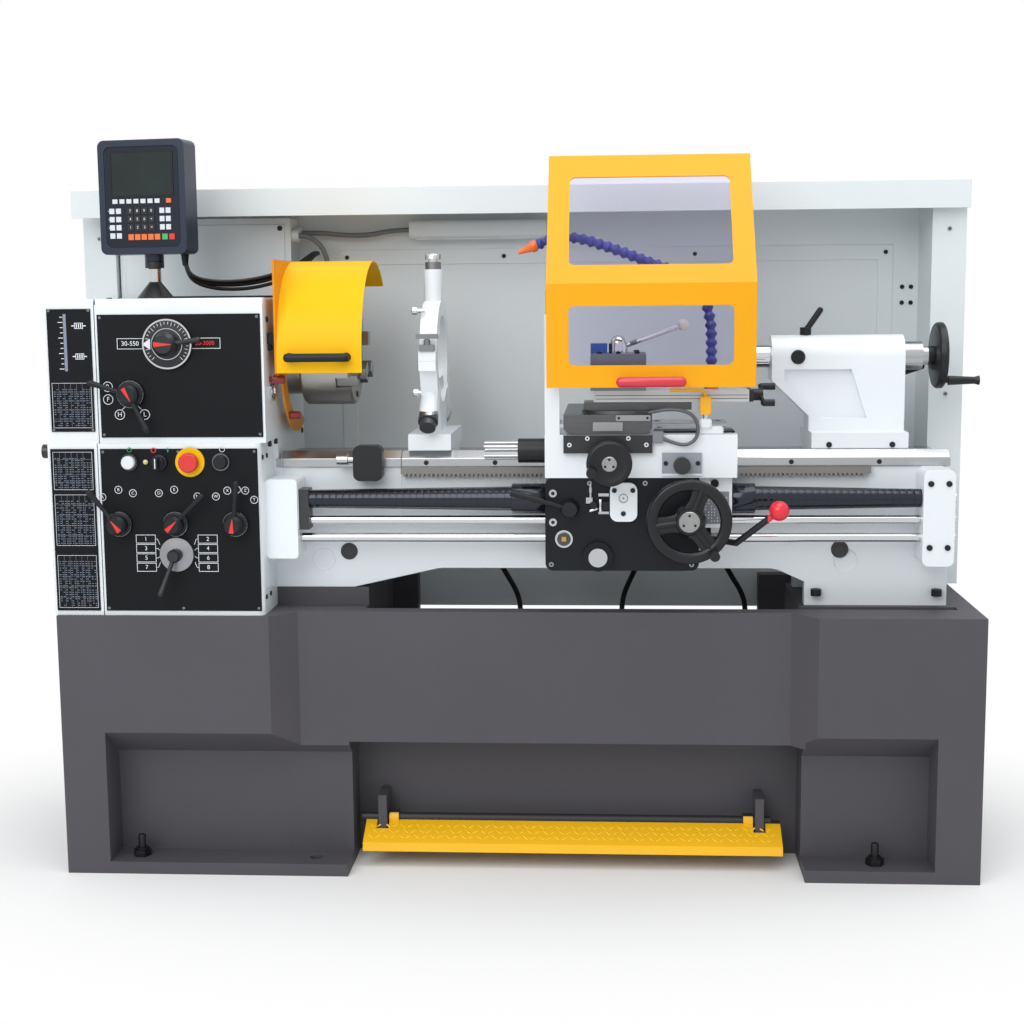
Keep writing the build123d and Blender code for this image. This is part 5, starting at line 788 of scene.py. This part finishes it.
# The digital readout is a die-cast case, painted slate, with a glass screen over rows of rubber keys.
# It turns on a chromed stem that stands in a black cone on the headstock, and three cables leave it downwards.
stem_finish = finish("stem_finish", (196, 198, 200), 0.16, metallic=1.0, zones=(
    ((100, 100, 1200), (260, 300, 1239), (26, 27, 29), 0.4, 0.0),
    ((100, 100, 1266), (260, 300, 1300), (30, 31, 33), 0.4, 0.0),
))
dress("readout_stem", stem_finish, 0.5)
case_slate = finish("case_slate", (34, 43, 60), 0.28, stretch=(800, 800, 800), spread=0.06, shine=0.4)
dress("readout", case_slate, 2)
readout_turn = Matrix.Translation(at(178, 200, 1414)) @ Matrix.Rotation(radians(-10), 4, "Z")


def on_readout(name, shape, material, smooth=True):
    bmesh.ops.transform(shape, matrix=readout_turn, verts=shape.verts)
    keep(name, shape, material, "readout", smooth)


def tiles(name, sheets, out0, out1, soft, material):
    shape = bmesh.new()
    for u0, u1, v0, v1 in sheets:
        size = Matrix.Diagonal(((u1 - u0) / 1000, (out1 - out0) / 1000, (v1 - v0) / 1000, 1))
        middle = Vector(((u0 + u1) / 2000, -(out0 + out1) / 2000, (v0 + v1) / 2000))
        bmesh.ops.create_cube(shape, size=1, matrix=Matrix.Translation(middle) @ size)
    bmesh.ops.bevel(shape, geom=shape.edges[:], offset=soft / 1000, segments=2, affect="EDGES")
    on_readout(name, shape, material)


face_dark = finish("face_dark", (26, 32, 44), 0.4, spread=0.06, shine=0.25)
tiles("readout_face", ((-83, 83, -103, 103),), 44.6, 45.6, 0.4, face_dark)
screen_glass = finish("screen_glass", (30, 40, 40), 0.14, spread=0.25, stretch=(14, 14, 14), shine=0.35)
tiles("readout_screen", ((-68, 68, 4, 92),), 45.4, 46.6, 0.5, screen_glass)
tiles("screen_surround", ((-72, 72, 92, 95), (-72, 72, 1, 4), (-72, -68, 4, 92), (68, 72, 4, 92)), 45.2, 47, 0.4,
      moulded_black)
key_finishes = {}
for colour_name, colour, spread, slot in (
    ("white", (214, 220, 226), 0.03, "white_paint"), ("black", (22, 24, 28), 0.06, "black_plastic"),
    ("orange", (236, 112, 50), 0.04, "red_plastic"), ("green", (70, 176, 96), 0.04, "white_plastic"),
    ("red", (222, 48, 46), 0.04, "red_plastic"),
):
    key_finishes[colour_name] = slot, finish("key_" + colour_name, colour, 0.5, spread=spread)
key_y, figure_y, axis_y, axis_x, key_row = -0.0462, -0.0477, -0.0465, -0.0775, 17
for keys_name, colour_name, key_wide, key_high, left, top, across, down, step in (
    ("function_keys", "white", 11, 9, -62, -8, 7, 1, 16),
    ("memory_key", "orange", 11, 9, 60, -8, 1, 1, 0),
    ("axis_keys", "white", 11, 11, -70, -28, 2, 4, 15),
    ("number_keys", "black", 13, 13, -28, -28, 4, 3, 16),
    ("arrow_keys", "white", 10.5, 11, 44, -28, 2, 3, 14),
    ("mode_keys", "orange", 12, 12, -28, -82, 5, 1, 15),
    ("enter_key", "green", 12, 12, 49, -82, 1, 1, 0),
    ("clear_key", "red", 12, 12, 65, -82, 1, 1, 0),
):
    key_places = [((left + step * i) / 1000, key_y, (top - key_row * j) / 1000)
                  for i in range(across) for j in range(down)]
    key_cells = cells(keys_name, key_places, (key_wide, 2.6, key_high), "readout", *key_finishes[colour_name])
    key_cells.data.transform(readout_turn)
key_signs = [(number, -28 + 16 * (i % 3), -28 - key_row * (i // 3)) for i, number in enumerate("789456123")]
key_signs += [("0", 20, -28), ("+", 20, -45), ("=", 20, -62)]
key_figures = bmesh.new()
for sign, sign_u, sign_v in key_signs:
    figures(key_figures, sign, Vector((sign_u / 1000, figure_y, sign_v / 1000)), 8)
for row, axis_name in enumerate("XYZ"):
    figures(key_figures, axis_name, Vector((axis_x, axis_y, (-28 - key_row * row) / 1000)), 5)
on_readout("key_figures", key_figures, print_white, smooth=False)
screws("readout_back_screws", [(x, 215, z) for z in (1340, 1480) for x in (150, 206)], "front", 3, 2, "readout")


def flexing_cord(name, points, radius, material, replaced=None):
    path = path_of(name, points)
    curve = cord_line(name + "_curve", points, radius)
    curve.data.use_fill_caps = True
    curve.data.materials.append(material)
    cord = put(name, to_mesh(curve))
    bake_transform(cord)
    if replaced:
        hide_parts(replaced)


cable_points = ((248, 186, 1296), (248, 186, 1266), (264, 202, 1242), (302, 246, 1232), (354, 306, 1234),
                (404, 364, 1248), (440, 420, 1269), (458, 472, 1292), (465, 518, 1306), (465, 550, 1306))
cable_spread = [sin(pi * step / (len(cable_points) - 1)) for step in range(len(cable_points))]
for lead_name, lead_side, lead_lift, lead_radius in (("readout_lead", 0, 0, 5), ("second_lead", -11, 7, 4),
                                                     ("third_lead", 3, -11, 4)):
    lead_points = [(x, y + lead_side * apart, z + lead_lift * apart)
                   for (x, y, z), apart in zip(cable_points, cable_spread)]
    flexing_cord(lead_name, lead_points, lead_radius, rubber_black,
                 "readout_cable")
round_piece("cable_relief", (248, 186, 1298), (0, 0, -1), (
    (0, 9), (4, 9), (5, 8), (24, 6), (26, 5.2), (26, 4)), moulded_black, "readout", 20)


# The saddle rides on the bed ways and the apron hangs from its front; both are castings.
# The saddle is machine white with black way wipers, while the apron's front is enamelled black.
# Bright feed links are pinned to the apron, and the tool guard's yellow latch is screwed to the saddle.
scale_grey = finish("scale_grey", (150, 152, 154), 0.38, metallic=0.8, spread=0.08)
saddle_finish = finish("saddle_finish", white, 0.36, spread=0.03, bump=0.04, coat=0.2, zones=(
    ((1050, 0, 886), (1232, 19.6, 926), (18, 20, 24), 0.4, 0.0),
    ((1247, 0, 846), (1331, 19.6, 890), (146, 152, 160), 0.45, 0.0),
    ((1270, -10, 844), (1308, 13.6, 884), (28, 29, 32), 0.35, 0.0),
    ((1012, 20, 1166), (1060, 50, 1230), (190, 192, 194), 0.2, 1.0),
    ((1010, 100, 923), (1400, 420, 926), ground, 0.3, 1.0),
))
dress("saddle", saddle_finish, 1.5)
apron_finish = finish("apron_finish", (22, 25, 31), 0.42, stretch=(500, 500, 500), spread=0.08, shine=0.2, zones=(
    ((1326, 40, 730), (1395, 120, 840), white, 0.36, 0.0),
    ((1143, 5, 748), (1202, 21.8, 829), white, 0.36, 0.0),
    ((1095, -10, 645), (1150, 9.6, 710), (190, 192, 194), 0.24, 1.0),
    ((1030, 15, 692), (1074, 21.8, 734), (200, 202, 204), 0.16, 1.0),
))
dress("apron", apron_finish, 1.5)
oil_dark = finish("oil_dark", (46, 40, 30), 0.16, spread=0.15, coat=0.8, zones=(
    ((1047.5, 0, 708), (1056.5, 30, 717), (196, 150, 60), 0.2, 0.3),
))
round_piece("oil_sight", (1052, 19.2, 712.5), to_front, ((0, 14), (1, 14), (1.6, 12), (1.9, 0.5)), oil_dark,
            "carriage", 28)
screws("wiper_screws", [(x, 7.4, z) for x, z in ((1064, 905), (1100, 918), (1182, 918), (1218, 905))],
       "front", 4.5, 2.4, "carriage", print_white)
screws("cover_block_screws", [(x, 7.6, z) for x, z in ((1154, 813), (1191, 813), (1172, 766))], "front", 5, 2.4,
       "carriage")
cover_ring = bmesh.new()
hoop(cover_ring, (1172, 8.2, 797), 9.5, 7.5, 1.2)
turned(cover_ring, at(1172, 8.2, 797), to_front, ((0, 2.4), (1, 2.4), (1.4, 0.4)), 16)
keep("cover_ring", cover_ring, scale_grey, "carriage")
screws("apron_screws", [(x, 21.6, z) for x, z in ((1104, 826), (1310, 660), (1026, 660), (1216, 826))],
       "front", 5, 3, "carriage", screw_steel)
screws("apron_bolts", [(1030, 20.5, z) for z in (747, 806)], "front", 8, 7, "carriage", chrome)
screws("saddle_screws", [(x, y, 924) for x in (1030, 1250, 1385) for y in (60, 200, 380)], "top", 6, 3, "carriage",
       screw_steel)
screws("pump_screws", [(x, 13.6, 867) for x in (1257, 1321)], "front", 4.6, 2.4, "carriage")
screws("post_clamp_bolt", [(1032, 44, 929)], "top", 8, 14, "carriage")
round_piece("thread_dial", (1358, 72, 836), up, ((0, 17), (2, 17), (3, 16), (3, 0.5)), chrome, "carriage", 28)
plate_grey = finish("plate_grey", (128, 132, 138), 0.45, metallic=0.3, spread=0.06)
blocks("thread_plate", ((1333, 1386, 45, 46.4, 740, 806),), 0.4, plate_grey, "carriage", 1)
plate_dots = [at(1339 + 6 * (i % 8), 45, 746 + 6 * (i // 8)) for i in range(72)]
cells("thread_plate_dots", plate_dots, (2.2, 0.5, 2.2), "carriage", "white_paint", print_white, kept=0.75, seed=5)
round_piece("thread_dial_bolt", (1357, 46.4, 823), to_front, (
    (0, 8), (5, 8), (6, 7), (6, 3.6), (3.5, 3.4), (3.5, 0.5)), black_steel, "carriage")
link_rods = bmesh.new()
for rod_place, rod_axis, rod_profile in (
    ((1106, 17, 798), up, ((0, 2.6), (10, 2.6), (10, 3.8), (20, 3.8), (20, 2.6), (28, 2.6), (29, 1.5))),
    ((1104, 17, 770), (1, 0, 0.35), ((0, 2.8), (1, 3.4), (16, 3.4), (17, 2.8))),
    ((1126, 14, 795), (0, 0, -1), ((0, 2.8), (1, 3.4), (26, 3.4), (27, 2.8))),
):
    turned(link_rods, at(*rod_place), rod_axis, rod_profile, 16)
bar(link_rods, 1097, 1110, 14, 22, 786, 798)
bar(link_rods, 1122, 1143, 17, 22, 800, 806)
bar(link_rods, 1122, 1143, 17, 22, 764, 769)
keep("feed_links", link_rods, chrome, "carriage")
link_block = bmesh.new()
bar(link_block, 1130, 1143, 11, 22, 772, 790)
turned(link_block, at(1112, 22, 782), to_front, ((0, 9), (7, 9), (9, 7.5), (9, 0.5)), 28)
keep("feed_link_block", link_block, moulded_black, "carriage")
blocks("right_wing_wiper", ((1236, 1398, 60, 118, 924, 928),), 1.2, moulded_black, "carriage")
blocks("latch_bracket", ((1322, 1372, 21, 50, 923, 940), (1324, 1348, 14, 34, 936, 956)), 3, saddle_finish,
       "carriage", 3)
round_piece("latch_pin", (1336, 24, 950), up, ((0, 5), (14, 5), (14, 3.5), (18, 3.5)), chrome, "carriage", 20)
latch_yellow = finish("latch_yellow", (248, 184, 14), 0.36, spread=0.04)
blocks("latch_block", ((1325, 1347, 15, 33, 964, 1000),), 1.5, latch_yellow, "carriage")
rod_points = ((1264, 24, 1013), (1310, 24, 1013), (1328, 24, 1013), (1336, 24, 1007), (1336, 24, 997))
ribbed_along("latch_rod", rod_points, {"Radius": 0.0035, "Pitch": 0.002, "Depth": 0.0, "Finish": latch_yellow},
             "carriage")
blocks("cable_gland", ((1229, 1252, 9, 20, 908, 932),), 1.5, plate_grey, "carriage")


# Handwheels are cast iron, enamelled black, with bright turned hubs and a turned grip at the rim.
# Each is keyed to its shaft and held by a hub cap with three screws.
enamel_black = finish("enamel_black", (20, 22, 26), 0.32, stretch=(500, 500, 500), spread=0.08, shine=0.35)
dress("apron_handwheel", enamel_black, 0.8)
wheel_x, wheel_z, cross_x, cross_z = 1302, 756, 1144, 873
wheel_centre, forward = at(wheel_x, -38, wheel_z), Vector(to_front)
rim_middle, rim_half, rim_deep, rim_sides, section_sides = 73, 12, 8, 72, 16
arm_start, arm_run, arm_wide, arm_dish, arm_steps = 20.4, 47.8, 32, 2, 6
arm_section = ((-1, -0.7), (-0.7, -1), (0.7, -1), (1, -0.7), (1, 0.7), (0.7, 1), (-0.7, 1), (-1, 0.7))
wheel = bmesh.new()
rim_rings = []
for side in range(rim_sides):
    turn = 2 * pi * side / rim_sides
    spoke = Vector((cos(turn), 0, sin(turn)))
    rim_ring = []
    for step in range(section_sides):
        angle = 2 * pi * step / section_sides
        reach = spoke * (rim_middle + rim_half * cos(angle))
        rim_ring.append(wheel.verts.new(wheel_centre + (reach + forward * rim_deep * sin(angle)) / 1000))
    rim_rings.append(rim_ring)
skin(wheel, rim_rings, closed=True)
for arm_angle in (308, 68, 188):
    turn = radians(arm_angle)
    spoke = Vector((cos(turn), 0, sin(turn)))
    aside = forward.cross(spoke)
    arm_rings = []
    for step in range(arm_steps + 1):
        share = step / arm_steps
        reach = spoke * (arm_start + arm_run * share) - forward * arm_dish * (1 - share)
        half = aside * arm_wide * (0.62 - 0.5 * share * (1 - share))
        thick = forward * (6 - 2 * share)
        arm_rings.append([wheel.verts.new(wheel_centre + (reach + half * u + thick * v) / 1000)
                          for u, v in arm_section])
    skin(wheel, arm_rings)
keep("apron_wheel_rim", wheel, enamel_black, "apron_handwheel")
dress("cross_handwheel", enamel_black, 0.8)
round_piece("cross_wheel_dish", (cross_x, -44, cross_z), to_front, (
    (0, 24), (1, 36), (4, 43), (8, 45.5), (13, 45), (16.5, 42.5), (17.5, 39), (16.8, 35), (15.8, 30), (15.6, 20),
    (15.6, 0.5)), enamel_black, "cross_handwheel", 72)
tail_wheel = finish("tail_wheel", (20, 22, 26), 0.32, spread=0.08, shine=0.35, zones=(
    ((1700, 180, 980), (1816, 340, 1160), (176, 178, 180), 0.26, 1.0),
))
dress("tailstock_handwheel", tail_wheel, 0.8)
round_piece("tail_wheel_dish", (1824, spindle_y, spindle_z), to_right, (
    (4, 22), (4, 40), (6, 56), (9, 66), (14, 70), (22, 70), (25, 67), (25, 61), (20, 56), (16, 40), (16, 22)),
    enamel_black, "tailstock_handwheel", 72)
for cap_name, cap_x, cap_y, cap_z, cap_radius, cap_body in (
    ("apron_hub_cap", wheel_x, -45, wheel_z, 21, "apron_handwheel"),
    ("cross_hub_cap", cross_x, -59, cross_z, 15, "cross_handwheel"),
):
    round_piece(cap_name, (cap_x, cap_y, cap_z), to_front, (
        (0, cap_radius), (3, cap_radius), (4, cap_radius - 1), (4, cap_radius * 0.4), (3, 0.4)),
        turned_steel, cap_body, 40)
    screw_circle, head_y = cap_radius * 0.62, cap_y - 4.6
    screws(cap_name + "_screws", [
        (cap_x + screw_circle * cos(radians(a)), head_y, cap_z + screw_circle * sin(radians(a)))
        for a in (90, 210, 330)], "front", 2.6, 1.6, cap_body)


# The half-nut lever, the start lever with its red ball, the indexing stop drum and the carriage stop are steel.
# They are blackened except for the ground rods, and the ball is moulded plastic.
dress("half_nut_lever", enamel_black, 0.8)
lever_finish = finish("lever_finish", (40, 41, 44), 0.35, metallic=0.6, zones=(
    ((1458, -42, 752), (1504, 2, 797), (226, 44, 60), 0.22, 0.0),
))
dress("control_lever", lever_finish, 0.5)
drum_finish = finish("drum_finish", (34, 35, 38), 0.38, metallic=0.5, zones=(
    ((880, 40, 850), (957.5, 110, 925), (180, 182, 184), 0.2, 1.0),
))
dress("stop_drum", drum_finish, 0.6)
micro_finish = finish("micro_finish", (32, 33, 36), 0.38, metallic=0.4, zones=(
    ((560, 90, 840), (609.6, 150, 900), (186, 188, 190), 0.25, 1.0),
))
dress("carriage_stop", micro_finish, 0.8)


# The cross slide and the compound slide are scraped and ground steel; the crank is black with two grips.
# The square tool post is clamped by a domed nut and a lever, and holds a tool block lacquered blue.
dark_ground = finish("dark_ground", (92, 93, 95), 0.36, metallic=0.9, stretch=(40, 700, 700), spread=0.18)
dress("cross_slide", dark_ground, 0.8)
slide_steel = finish("slide_steel", (204, 205, 206), 0.4, metallic=0.55, stretch=(30, 800, 800), spread=0.1, zones=(
    ((1425.2, 40, 980), (1440, 160, 1020), (28, 29, 31), 0.4, 0.2),
))
dress("compound_slide", slide_steel, 0.8)
dress("compound_handle", enamel_black, 0.5)
nut_chrome = (205, 206, 208)
post_grey = (124, 125, 128)
post_finish = finish("post_finish", post_grey, 0.34, metallic=0.85, stretch=(500, 500, 60), spread=0.08, zones=(
    ((1100, 40, 1085.2), (1141, 160, 1110), (50, 90, 170), 0.4, 0.2),
    ((1142, 60, 1085.2), (1186, 140, 1130), nut_chrome, 0.12, 1.0),
    ((1200, 60, 1085.2), (1282, 140, 1150), nut_chrome, 0.12, 1.0),
    ((1282, 80, 1120), (1310, 120, 1160), (226, 226, 214), 0.3, 0.0),
))
dress("tool_post", post_finish, 0.8)
screws("post_screws", [(1162 + u, 100 + v, 1085) for u in (-38, 0, 38) for v in (-44, 44)], "top", 5.5, 9, "tool_post")
blocks("cross_scale_plates", ((1111, 1171, 14, 20, 932, 950), (1157, 1226, 14, 20, 952, 964)), 1, scale_grey,
       "cross_slide")
screws("scale_plate_screws", [(1163, 14, 958), (1220, 14, 958)], "front", 2.6, 1.4, "cross_slide")
bar_lines = bmesh.new()
for line_z in (993, 1000):
    bar(bar_lines, 1116, 1422, 57.5, 58.2, line_z, line_z + 1)
keep("compound_lines", bar_lines, black_steel, "compound_slide", smooth=False)
braid_grey = finish("braid_grey", (96, 98, 102), 0.36, metallic=0.6, stretch=(900, 900, 900), spread=0.2)
loop_points = ((1252, 14, 916), (1272, 12, 908), (1298, 10, 903), (1318, 8, 916), (1322, 8, 942), (1310, 9, 966),
               (1280, 12, 976), (1246, 16, 974), (1222, 22, 968))
flexing_cord("scale_cable", loop_points, 3.6, braid_grey)


# The coolant hose is a chain of snap-together ball sockets, blue with an orange foot and nozzle.
# It stands on the compound slide and keeps whatever curve it is bent to.
hose_blue = finish("hose_blue", (40, 48, 140), 0.34, spread=0.06, coat=0.3)
hose_orange = finish("hose_orange", (236, 110, 44), 0.36, spread=0.05, coat=0.2)
hose_points = ((1353, 120, 1050), (1353, 120, 1092), (1352, 126, 1150), (1334, 136, 1214), (1290, 146, 1246),
               (1227, 150, 1268), (1150, 150, 1298), (1075, 150, 1322), (1022, 150, 1320), (991, 150, 1304))
hose_beads, _ = ribbed_along("coolant_beads", hose_points, {
    "Radius": 0.0125, "Pitch": 0.003, "Steps": 6.0, "Depth": 0.19, "Finish": hose_blue},
    "compound_slide")
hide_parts("coolant_hose")
hose_ends = bmesh.new()
turned(hose_ends, at(1353, 120, 1011), up, (
    (0, 15), (8, 15), (8, 12), (22, 12), (24, 14), (36, 14), (40, 11), (44, 8)), 24)
turned(hose_ends, at(994, 150, 1305.5), (-0.93, 0, -0.36), (
    (-2, 9), (2, 12), (10, 12), (13, 9), (34, 5), (40, 4.6), (40, 2.6), (36, 2.4)), 24)
keep("coolant_ends", hose_ends, hose_orange, "compound_slide")


# The tool guard is a folded sheet, powder coated yellow, that swings on a post at the carriage's left.
# Two tinted clear sheets close its windows from behind, and a red bow handle is screwed to its foot.
shield_yellow = finish("shield_yellow", (240, 166, 2), 0.4, stretch=(600, 600, 600), spread=0.04, shine=0.3, zones=(
    ((1150, -70, 1010), (1302, -20.6, 1060), (206, 40, 42), 0.32, 0.0),
))
dress("tool_guard", shield_yellow, 0.6)
window_glass, window_tree, window_shader = new_material("window_glass")
window_gloss = 0.06
feed(window_shader, {
    "Base Color": (0.82, 0.81, 0.93, 1), "Roughness": window_gloss, "Transmission Weight": 1, "IOR": 1.12})
window_grain = add(window_tree, "ShaderNodeGroup", {"Roughness": window_gloss, "Stretch": (60, 60, 60)},
                   node_tree=grain)
feed(window_shader, {"Roughness": window_grain.outputs["Roughness"]})
dress("guard_windows", window_glass)
handle_red = finish("handle_red", (206, 44, 60), 0.3, spread=0.04, coat=0.3)
round_piece("guard_bow", (1157, -46, 1033), to_right, (
    (0, 0.5), (0.8, 4), (3, 7.6), (6, 9.4), (10, 10.2), (128, 10.2), (132, 9.4), (135, 7.6), (137.2, 4), (138, 0.5)),
    handle_red, "tool_guard", 32)


# The steady rest is a split cast ring, hinged at the back, with three fingers set by knurled screws.
# It is machine white; the finger and thumb screws are bright or dark steel, and a grey clamp closes its front.
steady_finish = finish("steady_finish", white, 0.36, spread=0.03, coat=0.2, zones=(
    ((740, 232, 1260.6), (794, 288, 1330), (128, 130, 134), 0.3, 0.8),
    ((740, 60, 900), (794, 132, 966), (186, 188, 190), 0.22, 1.0),
    ((740, 388, 900), (794, 460, 966), (186, 188, 190), 0.22, 1.0),
    ((740, 60, 900), (794, 124, 960), (62, 64, 68), 0.4, 0.2),
))
dress("steady_base", steady_finish, 1.2)
dress("steady_top", steady_finish, 1.2)
round_piece("finger_knob", (767, spindle_y, 1275.5), up, (
    (0, 10), (6, 10), (6, 17), (15, 17), (17, 15.5), (17, 6), (18, 5), (18, 0.5)), chrome, "steady_top", 36)
for thumb_name, thumb_body, thumb_z in (
    ("upper_thumb_screw", "steady_top", 1174), ("lower_thumb_screw", "steady", 1002),
):
    round_piece(thumb_name, (750, 172, thumb_z), (-1, 0, 0), (
        (-8, 5), (8, 5), (8, 9), (18, 9), (19.5, 7.5), (19.5, 0.5)), chrome, thumb_body, 28)
clamp_grey = finish("clamp_grey", (122, 126, 130), 0.4, metallic=0.4, spread=0.06)
clamp_piece = bmesh.new()
bar(clamp_piece, 752, 782, 112, 134, 1090, 1104)
turned(clamp_piece, at(767, 123, 1104), up, ((0, 7), (10, 7), (10, 5), (14, 5)), 20)
bar(clamp_piece, 744, 790, 117, 129, 1116, 1126)
keep("ring_clamp", clamp_piece, clamp_grey, "steady_top")


# The tailstock is a white casting on the bed, with a chromed quill, a black handwheel and steel levers.
# A black plug closes its front, and two bolts clamp its base.
dress("tailstock_body", machine_white, 2)
dress("quill", chrome, 0.6)
dress("quill_lock", black_steel, 0.5)
dress("tailstock_clamp", black_steel, 0.5)
round_piece("tailstock_plug", (1540, 215.5, spindle_z), to_front, (
    (0, 15), (4, 15), (6, 13), (6, 8), (4, 7), (4, 0.5)), moulded_black, "tailstock", 32)
screws("tail_base_screws", [(1600, 159.4, 890), (1730, 159.4, 890)], "front", 6, 3, "tailstock")


# The brake treadle is a folded checker plate, painted yellow, on a rod between two lugs of the stand.
# Raised lozenges on its top and front give the shoe a hold.
treadle_finish = finish("treadle_finish", (250, 190, 20), 0.4, stretch=(500, 500, 500), spread=0.06, zones=(
    ((560, 120, 60), (1560, 160, 120), (44, 44, 48), 0.5, 0.2),
))
dress("brake_treadle", treadle_finish, 0.6)
lozenges, lozenge_in, lozenge_out = new_group("tread_lozenges", "GeometryNodeTree", (
    ("Geometry", "Geometry"), ("Size", "Vector", (0.018, 0.005, 0.0016)), ("Lean", "Float", 0.0),
    ("Finish", "Material"),
), (("Geometry", "Geometry"),))
lozenge_ball = add(lozenges, "GeometryNodeMeshUVSphere", {"Segments": 8, "Rings": 4, "Radius": 0.5})
lozenge_odd = maths(lozenges, "MODULO", add(lozenges, "GeometryNodeInputIndex"), 2)
lozenge_turn = maths(lozenges, "MULTIPLY_ADD", lozenge_odd, radians(90), radians(-45))
lozenge_spin = add(lozenges, "ShaderNodeCombineXYZ", {"Z": lozenge_turn})
lozenge_tilt = add(lozenges, "ShaderNodeCombineXYZ", {"X": lozenge_in["Lean"]})
lozenge_both = add(lozenges, "FunctionNodeRotateRotation", {
    "Rotation": add(lozenges, "FunctionNodeEulerToRotation", {0: lozenge_spin}),
    "Rotate By": add(lozenges, "FunctionNodeEulerToRotation", {0: lozenge_tilt})})
lozenge_place = add(lozenges, "GeometryNodeInstanceOnPoints", {
    "Points": add(lozenges, "GeometryNodeMeshToPoints", {"Mesh": lozenge_in["Geometry"]}), "Instance": lozenge_ball,
    "Scale": lozenge_in["Size"], "Rotation": lozenge_both})
paint_out(lozenges, lozenge_in, lozenge_out, lozenge_place)
tread_places = []
tread_step, tread_left, hinge_y, hinge_z, tread_depth, tread_drop = 16.6, 634, 130, 90.4, 70, 36
for row in range(3):
    for column in range(52):
        share = 0.36 + 0.2 * row
        tread_x = tread_left + tread_step * column + (tread_step / 2 if row % 2 else 0)
        tread_places.append(at(tread_x, hinge_y - tread_depth * share, hinge_z - tread_drop * share))
lozenge_yellow = finish("lozenge_yellow", (252, 200, 40), 0.38, spread=0.05)
grow("tread_lozenges", lozenges, dots("tread", tread_places), {
    "Size": (0.017, 0.005, 0.0022), "Lean": radians(27.2), "Finish": lozenge_yellow}, "brake_treadle")
